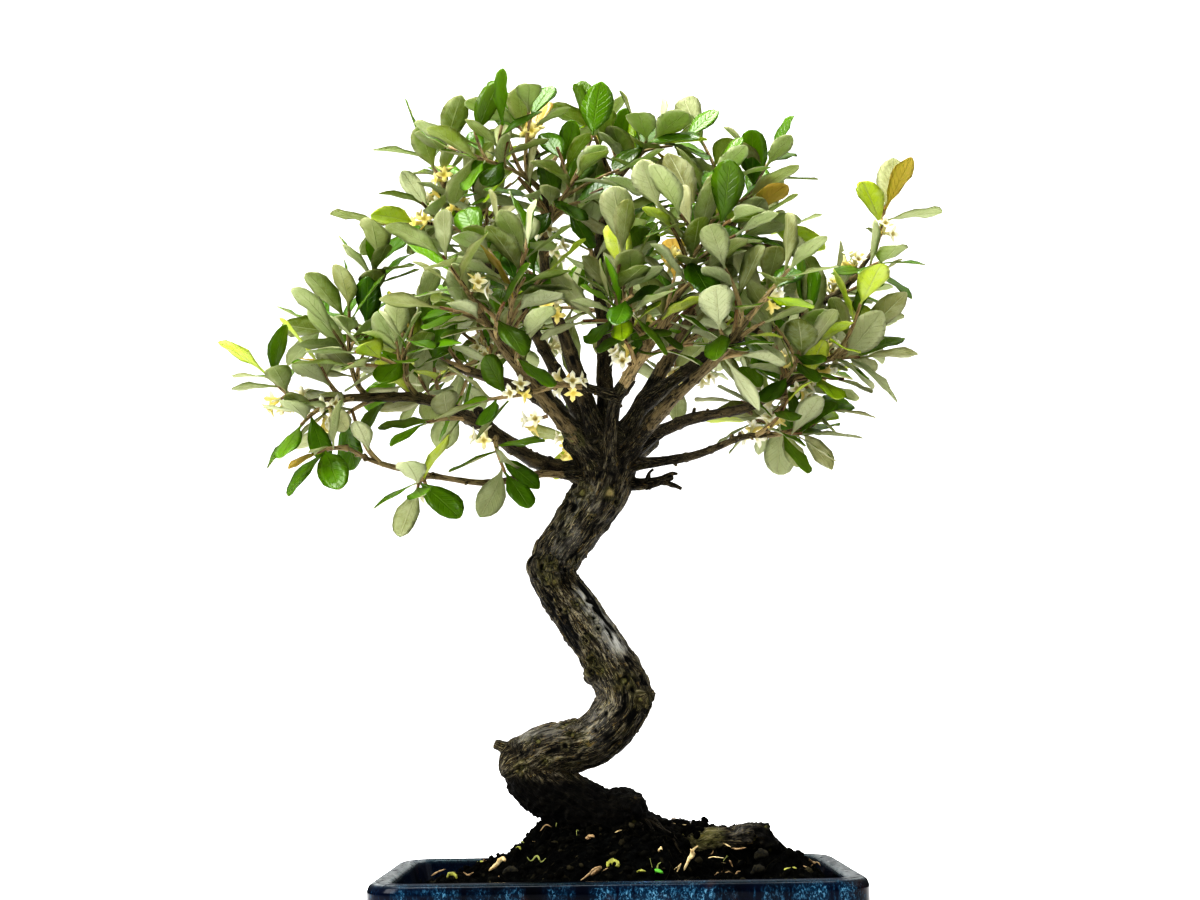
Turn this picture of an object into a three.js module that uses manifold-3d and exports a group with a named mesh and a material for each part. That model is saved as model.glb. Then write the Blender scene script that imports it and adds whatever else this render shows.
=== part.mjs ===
// A silverberry bonsai, grown with an S-shaped trunk, in a glazed rectangular tray pot.
// Millimetres, +Z up, the pot long in X. The tree is laid out from the middle of the pot, and at the
// end the whole is moved so that the middle of its box stands over the origin, with the feet at zero.

import * as THREE from 'three';
import { mergeVertices } from 'three/addons/utils/BufferGeometryUtils.js';
import Module from 'manifold-3d';

const wasm = await Module();
wasm.setup();

// Pot
const POT_LENGTH = 230;
const POT_DEPTH = 168;
const POT_HEIGHT = 62;
const LIP_HEIGHT = 17;
const LIP_OVERHANG = 9;
const LIP_WIDTH = 11;
const WALL_DRAFT = 12;
const FLOOR_UNDER = 6;
const FLOOR_TOP = 14;
const BASE_ROUND = 3;
const LIP_ROUND = 4;
const INNER_ROUND = 2;
const CORNER_RADIUS = 20;
const INNER_CORNER_RADIUS = 12;
const CORNER_STEPS = 3;
// How much a corner tightens with each millimetre that the wall steps in
const CORNER_TIGHTENING = 0.45;
const FOOT_LENGTH = 34;
const FOOT_DEPTH = 24;
const FOOT_INSET = 7;
const FOOT_CORNER_RADIUS = 5;
const FOOT_TAPER = 2;
const JOIN_DEPTH = 2;
const DRAIN_RADIUS = 7;
const DRAIN_SPREAD = 48;
const DRAIN_SIDES = 12;

// Soil
const SOIL_GAP = 0.4;
const SOIL_INSET = 1;
const SOIL_EDGE_DROP = 3;
const SOIL_EDGE = 51;
const SOIL_RINGS = 8;
const MOUND_HEIGHT = 31;
const MOUND_X = 14;
const MOUND_HALF_LENGTH = 72;
const MOUND_HALF_DEPTH = 60;
const RIDGE_HEIGHT = 6;
const RIDGE_X = 76;
const RIDGE_Y = -9;
const RIDGE_REACH = 26;
const CLOD_HEIGHT = 1.5;

// Wood: each route is a list of x, y, z and radius
const TRUNK_SIDES = 11;
const TRUNK_FOOT_STEPS = 8;
const TRUNK_TOP_STEPS = 16;
const TRUNK_FOOT = [
  [24, 2, 34, 11], [16, 2, 58, 14.5], [2, 2, 78, 14.5], [-20, 1, 92, 13.8], [-38, 2, 104, 13.6],
  [-44, 2, 114, 13],
];
const TRUNK_TOP = [
  [-45, 2, 113, 13], [-33, 0, 119, 13], [-12, -4, 124, 12.2], [2, -10, 137, 13],
  [4, -12, 149, 13.2], [-6, -8, 168, 11.8], [-20, -2, 189, 12.2], [-29, 3, 203, 11.6],
  [-29, 4, 214, 12.4], [-17, 2, 231, 12.8], [-6, 0, 247, 14], [-3, 1, 262, 15], [-2, 3, 275, 10],
];
const ROOTS = [
  [[-2, 0, 82, 12], [14, -2, 78, 11], [32, -6, 73, 7], [48, -8, 71, 4.5]],
  [[34, -6, 70, 4], [44, -8, 75, 5.4], [60, -10, 76, 5.4], [75, -10, 77, 6.6], [80, -10, 72, 5]],
  [[0, 0, 74, 11], [-14, -18, 66, 8], [-22, -34, 56, 5]],
  [[10, 4, 72, 11], [16, 26, 64, 8], [22, 44, 54, 5]],
  [[-12, 4, 82, 9], [-32, 8, 72, 7], [-48, 12, 62, 4]],
];
const KNOTS = [
  [3, 0, 88, 12.5], [9, -15, 143, 8], [10, -17, 151, 5], [-36, -2, 210, 7.5], [-31, -7, 205, 6],
  [-40, 0, 120, 7], [-3, -2, 262, 16],
];
const STUBS = [
  [[-46, 1, 118, 3.4], [-60, 0, 123, 2.6]],
  [[12, -16, 144, 4.6], [16, -25, 146, 4.2]],
  [[2, 0, 252, 4], [18, -4, 251, 3], [31, -8, 254, 1.8]],
  [[-10, -6, 262, 6], [-20, -18, 272, 5.2]],
  [[-60, -10, 279, 3], [-66, -22, 287, 2.6]],
  [[12, 6, 268, 5], [22, 16, 276, 4.4]],
];
const LIMBS = {
  left_low: [[-6, 0, 257, 7], [-36, -8, 262, 5.6], [-65, -14, 281, 4.6], [-92, -18, 293, 3.8],
    [-124, -22, 294, 2.8], [-151, -24, 291, 2]],
  left_twig: [[-11, -6, 254, 3], [-35, -16, 255, 2.4], [-65, -26, 250, 2.1], [-110, -36, 258, 1.7],
    [-128, -40, 266, 1.4]],
  left_mid: [[-8, 4, 269, 6], [-36, 8, 297, 4.4], [-72, 14, 313, 3.4], [-109, 16, 325, 2.5],
    [-132, 18, 331, 1.8]],
  left_up: [[-5, 6, 270, 7], [-26, 18, 310, 4.8], [-46, 26, 348, 3.8], [-69, 30, 384, 2.6],
    [-82, 30, 408, 1.8]],
  up_left: [[-4, 0, 270, 7], [-20, -6, 318, 4.8], [-32, -14, 357, 3.6], [-31, -20, 393, 2.5],
    [-35, -22, 417, 1.7]],
  up_mid: [[-2, 4, 272, 7], [-3, 10, 326, 4.8], [-5, 16, 376, 3.4], [2, 20, 412, 2.4],
    [-2, 22, 430, 1.7]],
  right_up: [[2, 6, 270, 7.5], [22, 12, 304, 5.4], [43, 18, 340, 4.2], [60, 22, 378, 2.9],
    [72, 24, 403, 1.9]],
  right_out: [[16, 10, 294, 5], [56, 4, 321, 3.8], [90, -4, 335, 3], [118, -8, 348, 2.2],
    [135, -8, 368, 1.5]],
  right_mid: [[4, 0, 265, 6], [35, -10, 281, 4], [68, -18, 287, 3.1], [88, -22, 298, 2.4],
    [103, -24, 308, 1.8]],
  right_low: [[4, -4, 260, 4.4], [40, -16, 263, 2.9], [64, -22, 271, 2.2], [77, -24, 272, 1.6]],
  front_fork: [[-2, -8, 257, 5.4], [2, -32, 287, 4.6], [11, -48, 301, 4], [25, -62, 320, 2.9],
    [34, -70, 336, 2]],
  front_arm: [[4, -36, 290, 3], [-20, -50, 294, 2.3], [-38, -58, 289, 1.7]],
  front_left: [[-8, -10, 262, 6], [-30, -46, 284, 4], [-50, -74, 307, 2.9], [-60, -88, 322, 1.9]],
  front_right: [[6, -8, 264, 6], [30, -52, 286, 4], [52, -76, 303, 2.9], [64, -88, 317, 1.9]],
  back_left: [[-6, 10, 267, 6.5], [-30, 46, 302, 4.2], [-54, 74, 336, 3], [-68, 88, 354, 1.9]],
  back_mid: [[-2, 12, 270, 6.5], [-2, 46, 314, 4.2], [4, 72, 352, 3], [8, 82, 378, 1.9]],
  back_right: [[4, 12, 269, 6.5], [28, 48, 303, 4.2], [54, 76, 334, 3], [68, 90, 350, 1.9]],
  back_low: [[0, 10, 262, 5], [-4, 46, 276, 3.4], [-12, 82, 284, 2.4], [-16, 98, 286, 1.7]],
};
const TRUNK_FLUTE = 0.06;
const ROOT_SIDES = 6;
const ROOT_STEPS = 4;
const STUB_SIDES = 5;
const BALL_AROUND = 7;
const BALL_DOWN = 4;
const THICK_LIMB = 6.2;
const THICK_LIMB_SIDES = 6;
const LIMB_SIDES = 5;
const BRANCH_FORWARD = 0.4;
const BRANCH_BEND = 0.45;
const BRANCH_SPANS = 4;
const LIMB_STEP = 25;
// Corners closer than this to a straight edge or flat face are left out of the wood
const WOOD_SMOOTHING = 0.05;

// Shoots: the limb, how far along it the branchlet leaves, and where the shoot's tip is
const SHOOTS = [
  ['left_low', 1.0, [-170, -25, 306]], ['left_low', 0.88, [-150, -44, 277]],
  ['left_low', 0.62, [-104, -44, 318]], ['left_low', 0.78, [-132, -8, 336]],
  ['left_low', 0.34, [-52, -34, 254]], ['left_twig', 1.0, [-142, -52, 262]],
  ['left_twig', 0.62, [-92, -58, 244]], ['left_mid', 1.0, [-152, 24, 340]],
  ['left_mid', 0.78, [-122, 10, 366]], ['left_mid', 0.6, [-104, 52, 330]],
  ['left_up', 1.0, [-96, 28, 434]], ['left_up', 0.8, [-120, 44, 400]],
  ['left_up', 0.72, [-66, 58, 432]], ['up_left', 1.0, [-46, -24, 434]],
  ['up_left', 0.78, [-64, -48, 408]], ['up_left', 0.62, [-14, -56, 396]],
  ['up_mid', 1.0, [-8, 24, 446]], ['up_mid', 0.74, [24, -2, 430]],
  ['right_up', 1.0, [88, 24, 428]], ['right_up', 0.84, [50, 30, 442]],
  ['right_up', 0.62, [48, -26, 396]], ['right_up', 0.72, [98, 54, 398]],
  ['right_out', 1.0, [142, -8, 392]], ['right_out', 0.82, [134, -34, 356]],
  ['right_out', 0.66, [118, 26, 346]], ['right_mid', 1.0, [124, -26, 310]],
  ['right_mid', 0.62, [92, -56, 306]], ['right_low', 1.0, [94, -28, 272]],
  ['right_mid', 0.66, [88, 16, 280]], ['front_fork', 1.0, [42, -80, 356]],
  ['front_fork', 0.62, [0, -86, 322]], ['front_arm', 1.0, [-58, -68, 284]],
  ['front_left', 1.0, [-76, -108, 344]], ['front_left', 0.62, [-38, -88, 352]],
  ['front_right', 1.0, [82, -106, 336]], ['back_left', 1.0, [-84, 108, 372]],
  ['back_left', 0.66, [-98, 84, 318]], ['back_mid', 1.0, [10, 96, 402]],
  ['back_right', 1.0, [86, 106, 370]], ['back_right', 0.64, [104, 72, 326]],
  ['back_low', 1.0, [-22, 122, 294]], ['back_mid', 0.66, [-36, 106, 366]],
];
const SHOOT_SIDES = 4;
const SHOOT_ROOT_RADIUS = 1.5;
const SHOOT_TIP_RADIUS = 0.75;
const SHOOT_WOOD_SHARE = 0.42;
const SHOOT_GAP = 0.3;

// Leaves
const LEAF_STATIONS = [0.1, 0.3, 0.5, 0.7, 0.86, 1.0];
const LEAF_TURN = 2.4;
const LEAF_LEAN = 1.2;
const LEAF_LEAN_LOSS = 0.45;
const TERMINAL_LEAN = 0.2;
const LEAF_LOOSE = 0.3;
const LEAF_LOOSER = 0.07;
const LEAF_SHRINK = 0.014;
// How far a leaf's upper face turns to the shoot's tip, to the sky and at random
const FACE_FORWARD = 0.55;
const FACE_UP = 0.95;
const FACE_STRAY = 0.7;
const LEAF_LENGTH_LEAST = 24;
const LEAF_LENGTH_SPREAD = 13;
const LEAF_NARROW = 0.2;
const LEAF_BROAD = 0.3;
const LEAF_THICKNESS = 0.6;
const LEAF_FOLD = 0.22;
const LEAF_DROOP = 0.22;
const BROAD_LEAF_LOSS = 0.45;
const LEAF_TRIES = 26;
// Half widths along the leaf, as shares of its length and of its greatest half width
const LEAF_OUTLINE = [[0.36, 0.62], [0.7, 1], [0.96, 0.52]];
const LEAF_TIP_SHARE = 0.3;
const PETIOLE_HALF_WIDTH = 0.6;
const MIDRIB_SHARE = 0.58;

// Flowers
const FLOWER_EVERY = 3;
const FLOWER_SHARE = 0.37;
const FLOWER_TRIES = 40;
const FLOWER_LEAN = 0.35;
const SIDE_FLOWER_LEAN = 0.84;
// How far a spur leans to its branchlet's tip, and where room is looked for, in spur lengths
const SPUR_FORWARD = 0.4;
const ROOM_STEPS = [1, 1.7, 2.4, 3.1];
const SPUR_SHARES = [0, 0.3, 1];
const SPUR_SIDES = 4;
const FLOWER_MARGIN = 3.8;
const SIDE_FLOWER_SHARE = 0.65;
const SPUR_LENGTH = 4;
const SPUR_RADIUS = 0.85;
const SPUR_GAP = 0.6;
const FLOWER_LENGTH = 7.5;
const THROAT_RADIUS = 1.4;
const PETAL_REACH = 4.8;
const PETAL_NOTCH = 1.7;
const PETAL_LIFT = 1;
const PETAL_THICKNESS = 0.7;
// Shares of the flower's length where its tube ends, its lobes open and its heart lies
const THROAT_SHARE = 0.7;
const MOUTH_SHARE = 0.86;
const HEART_SHARE = 0.8;

// Clearances between what grows close together
const LEAF_CLEARANCE = 4.6;
const OWN_LEAF_CLEARANCE = 3.4;
const OWN_ROOT_CLEARANCE = 2.2;
const OWN_STEM_EASE = 1.4;
const WOOD_CLEARANCE = 2.6;
const FLOWER_CLEARANCE = 5.8;
const OBSTACLE_STEP = 3;
const SAMPLE_SHARES = [0.2, 0.34, 0.48, 0.62, 0.76, 0.88, 1];
const SAMPLE_ASIDE = 0.9;
const ROOT_SHARE = 0.3;
const BLADE_SHARE = 0.45;

// Share of a facet that stays whole at each end beside a graft, and the most that half a graft takes
const FACET_MARGIN = 0.08;
const GRAFT_MOST = 0.3;
const LEAF_GRAFT = { halfLength: 0.55, width: 0.56 };
const BRANCH_GRAFT = { halfLength: 1.8, width: 0.5 };
const FLOWER_GRAFT = { halfLength: 0.7, width: 0.6 };

const SEED = 1010;

// Seeded numbers from 0 to 1
function seeded(seed) {
  let state = seed % 2147483647;
  return () => {
    state = (state * 48271) % 2147483647;
    return state / 2147483647;
  };
}

const vector = (p) => new THREE.Vector3(p[0], p[1], p[2]);

// Place and radius at a share t of the way along a route, on a Catmull-Rom curve
function along(route, t) {
  const spans = route.length - 1;
  const place = Math.min(t * spans, spans - 1e-9);
  const span = Math.floor(place);
  const u = place - span;
  const knot = (k, c) => {
    if (k < 0) return 2 * route[0][c] - route[1][c];
    if (k > spans) return 2 * route[spans][c] - route[spans - 1][c];
    return route[k][c];
  };
  return [0, 1, 2, 3].map((c) => {
    const [before, from, to, after] = [-1, 0, 1, 2].map((k) => knot(span + k, c));
    const bend = (2 * before - 5 * from + 4 * to - after) * u * u;
    const twist = (3 * from - before - 3 * to + after) * u * u * u;
    return 0.5 * (2 * from + (to - before) * u + bend + twist);
  });
}

// Direction of a route at a share t
function heading(route, t) {
  const ahead = along(route, Math.min(t + 0.01, 1));
  const behind = along(route, Math.max(t - 0.01, 0));
  return vector(ahead).sub(vector(behind)).normalize();
}

function routeLength(route) {
  let total = 0;
  for (let i = 1; i < route.length; i += 1) total += vector(route[i]).distanceTo(vector(route[i - 1]));
  return total;
}

// A unit vector square to the given one
function squareTo(direction) {
  const helper = Math.abs(direction.z) < 0.9 ? new THREE.Vector3(0, 0, 1) : new THREE.Vector3(1, 0, 0);
  return helper.cross(direction).normalize();
}

// Solid from a list of points and a list of corner numbers
function solid(points, corners) {
  const mesh = new wasm.Mesh({
    numProp: 3,
    vertProperties: Float32Array.from(points.flat()),
    triVerts: Uint32Array.from(corners),
  });
  return new wasm.Manifold(mesh);
}

// Closed skin over rings of equal count, from the first ring's flat cap to the last ring's
function loft(rings) {
  const count = rings[0].length;
  const corners = [];
  for (let r = 0; r + 1 < rings.length; r += 1) {
    for (let i = 0; i < count; i += 1) {
      const here = r * count + i;
      const next = r * count + ((i + 1) % count);
      corners.push(here, next, next + count, here, next + count, here + count);
    }
  }
  const last = (rings.length - 1) * count;
  for (let i = 1; i + 1 < count; i += 1) {
    corners.push(0, i + 1, i);
    corners.push(last, last + i, last + i + 1);
  }
  return solid(rings.flat(), corners);
}

// Rings round a route at the given shares, turned alike, fluted by a share of the radius
function ringsAt(route, shares, sides, flute = 0, extra = 0) {
  let side = squareTo(heading(route, 0));
  return shares.map((share) => {
    const place = along(route, share);
    const forward = heading(route, share);
    side = side.addScaledVector(forward, -side.dot(forward)).normalize();
    const other = forward.clone().cross(side);
    return Array.from({ length: sides }, (_, k) => {
      const angle = (2 * Math.PI * k) / sides;
      const broadRidges = 0.6 * Math.cos(3 * angle + place[2] / 13);
      const ridges = broadRidges + 0.4 * Math.cos(5 * angle - place[2] / 9);
      const radius = place[3] * (1 + flute * ridges) + extra;
      const spot = vector(place).addScaledVector(side, radius * Math.cos(angle));
      return spot.addScaledVector(other, radius * Math.sin(angle)).toArray();
    });
  });
}

function tube(route, sides, steps, flute = 0, extra = 0) {
  const shares = Array.from({ length: steps + 1 }, (_, i) => i / steps);
  return loft(ringsAt(route, shares, sides, flute, extra));
}

// Ball with few faces, for knots and rounded ends
function ball([x, y, z, radius], extra = 0) {
  const shape = new THREE.SphereGeometry(radius + extra, BALL_AROUND, BALL_DOWN).rotateX(Math.PI / 2);
  shape.translate(x, y, z);
  shape.deleteAttribute('normal');
  shape.deleteAttribute('uv');
  const merged = mergeVertices(shape);
  return solid([Array.from(merged.attributes.position.array)], merged.index.array);
}

// Corner points of a rectangle with rounded corners, anticlockwise from above
function roundedRing(halfLength, halfDepth, radius, height) {
  const ring = [];
  for (let corner = 0; corner < 4; corner += 1) {
    const signX = corner === 0 || corner === 3 ? 1 : -1;
    const signY = corner < 2 ? 1 : -1;
    for (let step = 0; step <= CORNER_STEPS; step += 1) {
      const angle = (corner + step / CORNER_STEPS) * (Math.PI / 2);
      const x = signX * (halfLength - radius) + radius * Math.cos(angle);
      const y = signY * (halfDepth - radius) + radius * Math.sin(angle);
      ring.push([x, y, height]);
    }
  }
  return ring;
}

// Half sizes of the pot's inner wall at a height
function innerHalf(height) {
  const share = (height - FLOOR_TOP) / (POT_HEIGHT - FLOOR_TOP);
  const draft = WALL_DRAFT * (1 - share);
  const inset = LIP_WIDTH + draft;
  return [POT_LENGTH / 2 - inset, POT_DEPTH / 2 - inset];
}

// Outline of the pot's outside from the base up: inset from the lip's face, and height
function potProfile() {
  const lipUnder = POT_HEIGHT - LIP_HEIGHT;
  const base = LIP_OVERHANG + WALL_DRAFT;
  return [
    [base + BASE_ROUND, FLOOR_UNDER],
    [base, FLOOR_UNDER + BASE_ROUND],
    [LIP_OVERHANG + LIP_ROUND / 4, lipUnder - LIP_ROUND / 2],
    [LIP_OVERHANG - LIP_ROUND / 2, lipUnder],
    [LIP_ROUND * 0.35, lipUnder + LIP_ROUND * 0.4],
    [0, lipUnder + LIP_ROUND],
    [0, POT_HEIGHT - LIP_ROUND],
    [LIP_ROUND * 0.3, POT_HEIGHT - LIP_ROUND * 0.25],
    [LIP_ROUND, POT_HEIGHT],
  ];
}

function footSolid(signX, signY) {
  const inset = LIP_OVERHANG + WALL_DRAFT + FOOT_INSET;
  const x = signX * (POT_LENGTH / 2 - inset - FOOT_LENGTH / 2);
  const y = signY * (POT_DEPTH / 2 - inset - FOOT_DEPTH / 2);
  const ring = (shrink, height) => (
    roundedRing(FOOT_LENGTH / 2 - shrink, FOOT_DEPTH / 2 - shrink, FOOT_CORNER_RADIUS, height));
  return loft([ring(FOOT_TAPER, 0), ring(0, FLOOR_UNDER + JOIN_DEPTH)]).translate([x, y, 0]);
}

function drainSolid(x) {
  const ring = (height) => Array.from({ length: DRAIN_SIDES }, (_, k) => {
    const angle = (2 * Math.PI * k) / DRAIN_SIDES;
    return [x + DRAIN_RADIUS * Math.cos(angle), DRAIN_RADIUS * Math.sin(angle), height];
  });
  return loft([ring(FLOOR_UNDER - JOIN_DEPTH), ring(FLOOR_TOP + JOIN_DEPTH)]);
}

function potSolid() {
  const outside = potProfile().map(([inset, height]) => {
    const radius = CORNER_RADIUS - inset * CORNER_TIGHTENING;
    return roundedRing(POT_LENGTH / 2 - inset, POT_DEPTH / 2 - inset, radius, height);
  });
  const inside = [[POT_HEIGHT, INNER_ROUND], [POT_HEIGHT - INNER_ROUND, 0], [FLOOR_TOP, 0]];
  const inner = inside.map(([height, outward]) => {
    const [length, depth] = innerHalf(height);
    return roundedRing(length + outward, depth + outward, INNER_CORNER_RADIUS, height);
  });
  const shell = loft([...outside, ...inner]);
  const signs = [-1, 1];
  const feet = signs.flatMap((signX) => signs.map((signY) => footSolid(signX, signY)));
  const drains = signs.map((sign) => drainSolid(sign * DRAIN_SPREAD));
  return wasm.Manifold.union([shell, ...feet]).subtract(wasm.Manifold.union(drains));
}

// Height of the soil: a mound round the trunk, a ridge over the surface root, and clods
function soilHeight(x, y) {
  const run = (Math.abs(x - MOUND_X) / MOUND_HALF_LENGTH) ** 3;
  const across = (Math.abs(y) / MOUND_HALF_DEPTH) ** 3;
  const mound = MOUND_HEIGHT * Math.exp(-run - across);
  const away = (x - RIDGE_X) ** 2 + (y - RIDGE_Y) ** 2;
  const ridge = RIDGE_HEIGHT * Math.exp(-away / RIDGE_REACH ** 2);
  const clods = Math.sin(x / 5.3 + 1.1) * Math.cos(y / 4.7) + 0.7 * Math.sin(x / 3.1 - y / 3.7);
  return SOIL_EDGE + mound + ridge + CLOD_HEIGHT * clods;
}

function soilSolid(woodBelow) {
  const [topLength, topDepth] = innerHalf(SOIL_EDGE).map((half) => half - SOIL_INSET);
  const [lowLength, lowDepth] = innerHalf(FLOOR_TOP).map((half) => half - SOIL_INSET - SOIL_GAP);
  const rings = [roundedRing(lowLength, lowDepth, INNER_CORNER_RADIUS, FLOOR_TOP + SOIL_GAP)];
  for (let row = SOIL_RINGS; row >= 1; row -= 1) {
    const share = row / SOIL_RINGS;
    const ring = roundedRing(topLength * share, topDepth * share, INNER_CORNER_RADIUS * share, 0);
    const sunk = row === SOIL_RINGS ? SOIL_EDGE_DROP : 0;
    rings.push(ring.map(([x, y]) => [x, y, soilHeight(x, y) - sunk]));
  }
  return loft(rings).subtract(woodBelow);
}

// Skin grown from rings of points, with open facets where something is grafted on
class Skin {
  constructor() {
    this.points = [];
    this.corners = [];
  }

  add(ring) {
    return ring.map((point) => this.points.push(point) - 1);
  }

  // Turns a list of point numbers so that it starts nearest to a given point
  startNear(ring, place) {
    const gaps = ring.map((k) => vector(this.points[k]).distanceToSquared(vector(place)));
    const first = gaps.indexOf(Math.min(...gaps));
    return [...ring.slice(first), ...ring.slice(0, first)];
  }

  // Joins two rings of any counts, the second one further out
  bridge(inner, outer) {
    const ring = this.startNear(outer, this.points[inner[0]]);
    let [i, j] = [0, 0];
    while (i < inner.length || j < ring.length) {
      const here = inner[i % inner.length];
      const there = ring[j % ring.length];
      const innerBehind = (i + 1) / inner.length <= (j + 1) / ring.length;
      if (j === ring.length || (i < inner.length && innerBehind)) {
        this.corners.push(here, inner[(i + 1) % inner.length], there);
        i += 1;
      } else {
        this.corners.push(here, ring[(j + 1) % ring.length], there);
        j += 1;
      }
    }
  }

  close(ring, facingOut = true) {
    for (let i = 1; i + 1 < ring.length; i += 1) {
      const pair = facingOut ? [ring[i], ring[i + 1]] : [ring[i + 1], ring[i]];
      this.corners.push(ring[0], ...pair);
    }
  }

  solid() {
    return solid(this.points, this.corners);
  }
}

// Stem of a plant: rings along a route whose side facets can each carry one graft
class Stem {
  constructor(skin, rings, shares) {
    this.skin = skin;
    this.rings = rings.map((ring) => skin.add(ring));
    this.shares = shares;
    this.opened = new Set();
  }

  facet(row, side) {
    const [low, high] = [this.rings[row], this.rings[row + 1]];
    const next = (side + 1) % low.length;
    return [low[side], low[next], high[next], high[side]];
  }

  facetNormal(row, side) {
    const [a, b, , d] = this.facet(row, side).map((k) => vector(this.skin.points[k]));
    return b.sub(a).cross(d.sub(a)).normalize();
  }

  // Opens the free facet that faces a direction best at a share of the stem, with a small ring in it
  open(share, direction, { halfLength, width }) {
    const found = this.shares.findIndex((limit) => limit > share) - 1;
    const last = this.rings.length - 2;
    const row = found < 0 ? last : Math.min(found, last);
    const free = (side) => !this.opened.has(`${row} ${side}`);
    const sides = this.rings[row].map((_, side) => side).filter(free);
    const facing = (side) => this.facetNormal(row, side).dot(direction);
    const side = sides.reduce((best, other) => (facing(other) > facing(best) ? other : best));
    this.opened.add(`${row} ${side}`);
    const around = this.facet(row, side);
    const [a, b, c, d] = around.map((k) => vector(this.skin.points[k]));
    const long = d.distanceTo(a);
    const half = Math.min(halfLength / long, GRAFT_MOST);
    const span = this.shares[row + 1] - this.shares[row];
    const lowest = half + FACET_MARGIN;
    const middle = Math.min(Math.max((share - this.shares[row]) / span, lowest), 1 - lowest);
    const [near, far] = [0.5 - width / 2, 0.5 + width / 2];
    const [low, high] = [middle - half, middle + half];
    const spots = [[near, low], [far, low], [far, high], [near, high]];
    const ring = this.skin.add(spots.map(([across, up]) => (
      a.clone().lerp(b, across).lerp(d.clone().lerp(c, across), up).toArray())));
    this.skin.bridge(around, ring);
    return ring;
  }

  // Skins every facet that nothing is grafted on, and the lower end
  finish() {
    this.skin.close(this.rings[0], false);
    for (let row = 0; row + 1 < this.rings.length; row += 1) {
      for (let side = 0; side < this.rings[row].length; side += 1) {
        if (this.opened.has(`${row} ${side}`)) continue;
        const [a, b, c, d] = this.facet(row, side);
        this.skin.corners.push(a, b, c, a, c, d);
      }
    }
  }

  get end() {
    return this.rings[this.rings.length - 1];
  }
}

// Route of each branchlet and shoot: it leaves its limb forward and bends to its tip
function shootRoute([limb, share, tip]) {
  const start = along(LIMBS[limb], share);
  const reach = vector(tip).distanceTo(vector(start));
  const aim = vector(tip).sub(vector(start)).normalize();
  const forward = heading(LIMBS[limb], share).multiplyScalar(BRANCH_FORWARD);
  forward.addScaledVector(aim, 1 - BRANCH_FORWARD);
  const bend = vector(start).addScaledVector(forward, reach * BRANCH_BEND);
  const route = [];
  for (let i = 0; i <= BRANCH_SPANS; i += 1) {
    const t = i / BRANCH_SPANS;
    const spot = vector(start).multiplyScalar((1 - t) ** 2);
    spot.addScaledVector(bend, 2 * t * (1 - t)).addScaledVector(vector(tip), t * t);
    const thick = Math.min(SHOOT_ROOT_RADIUS, start[3]);
    route.push([...spot.toArray(), thick + (SHOOT_TIP_RADIUS - thick) * t]);
  }
  return route;
}

const shootRoutes = SHOOTS.map(shootRoute);

// Where wood already is: places with the distance to keep from them
function obstaclesAlong(route, from, to, margin, owner) {
  const steps = Math.ceil((routeLength(route) * (to - from)) / OBSTACLE_STEP);
  const list = [];
  for (let i = 0; i <= steps; i += 1) {
    const spot = along(route, from + ((to - from) * i) / steps);
    list.push({ x: spot[0], y: spot[1], z: spot[2], keep: spot[3] + margin, owner, share: 0 });
  }
  return list;
}

const obstacles = [
  ...obstaclesAlong(TRUNK_FOOT, 0, 1, WOOD_CLEARANCE, 'wood'),
  ...obstaclesAlong(TRUNK_TOP, 0, 1, WOOD_CLEARANCE, 'wood'),
];
for (const route of [...Object.values(LIMBS), ...STUBS]) {
  obstacles.push(...obstaclesAlong(route, 0, 1, WOOD_CLEARANCE, 'wood'));
}
shootRoutes.forEach((route, index) => {
  obstacles.push(...obstaclesAlong(route, 0, SHOOT_WOOD_SHARE, WOOD_CLEARANCE, 'wood'));
  obstacles.push(...obstaclesAlong(route, SHOOT_WOOD_SHARE, 1, WOOD_CLEARANCE, index));
});

// The distance to keep between a sample of a new leaf and something already there
function distanceToKeep(sample, other, owner) {
  if (other.owner !== owner) return other.keep;
  if (other.share === 0) return sample.share > ROOT_SHARE ? other.keep - OWN_STEM_EASE : 0;
  if (sample.share < ROOT_SHARE && other.share < ROOT_SHARE) return 0;
  const blades = sample.share > BLADE_SHARE && other.share > BLADE_SHARE;
  return blades ? OWN_LEAF_CLEARANCE : OWN_ROOT_CLEARANCE;
}

function isClear(samples, owner) {
  return samples.every((sample) => obstacles.every((other) => {
    const keep = distanceToKeep(sample, other, owner);
    const [dx, dy, dz] = [sample.x - other.x, sample.y - other.y, sample.z - other.z];
    return dx * dx + dy * dy + dz * dz >= keep * keep;
  }));
}

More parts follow.
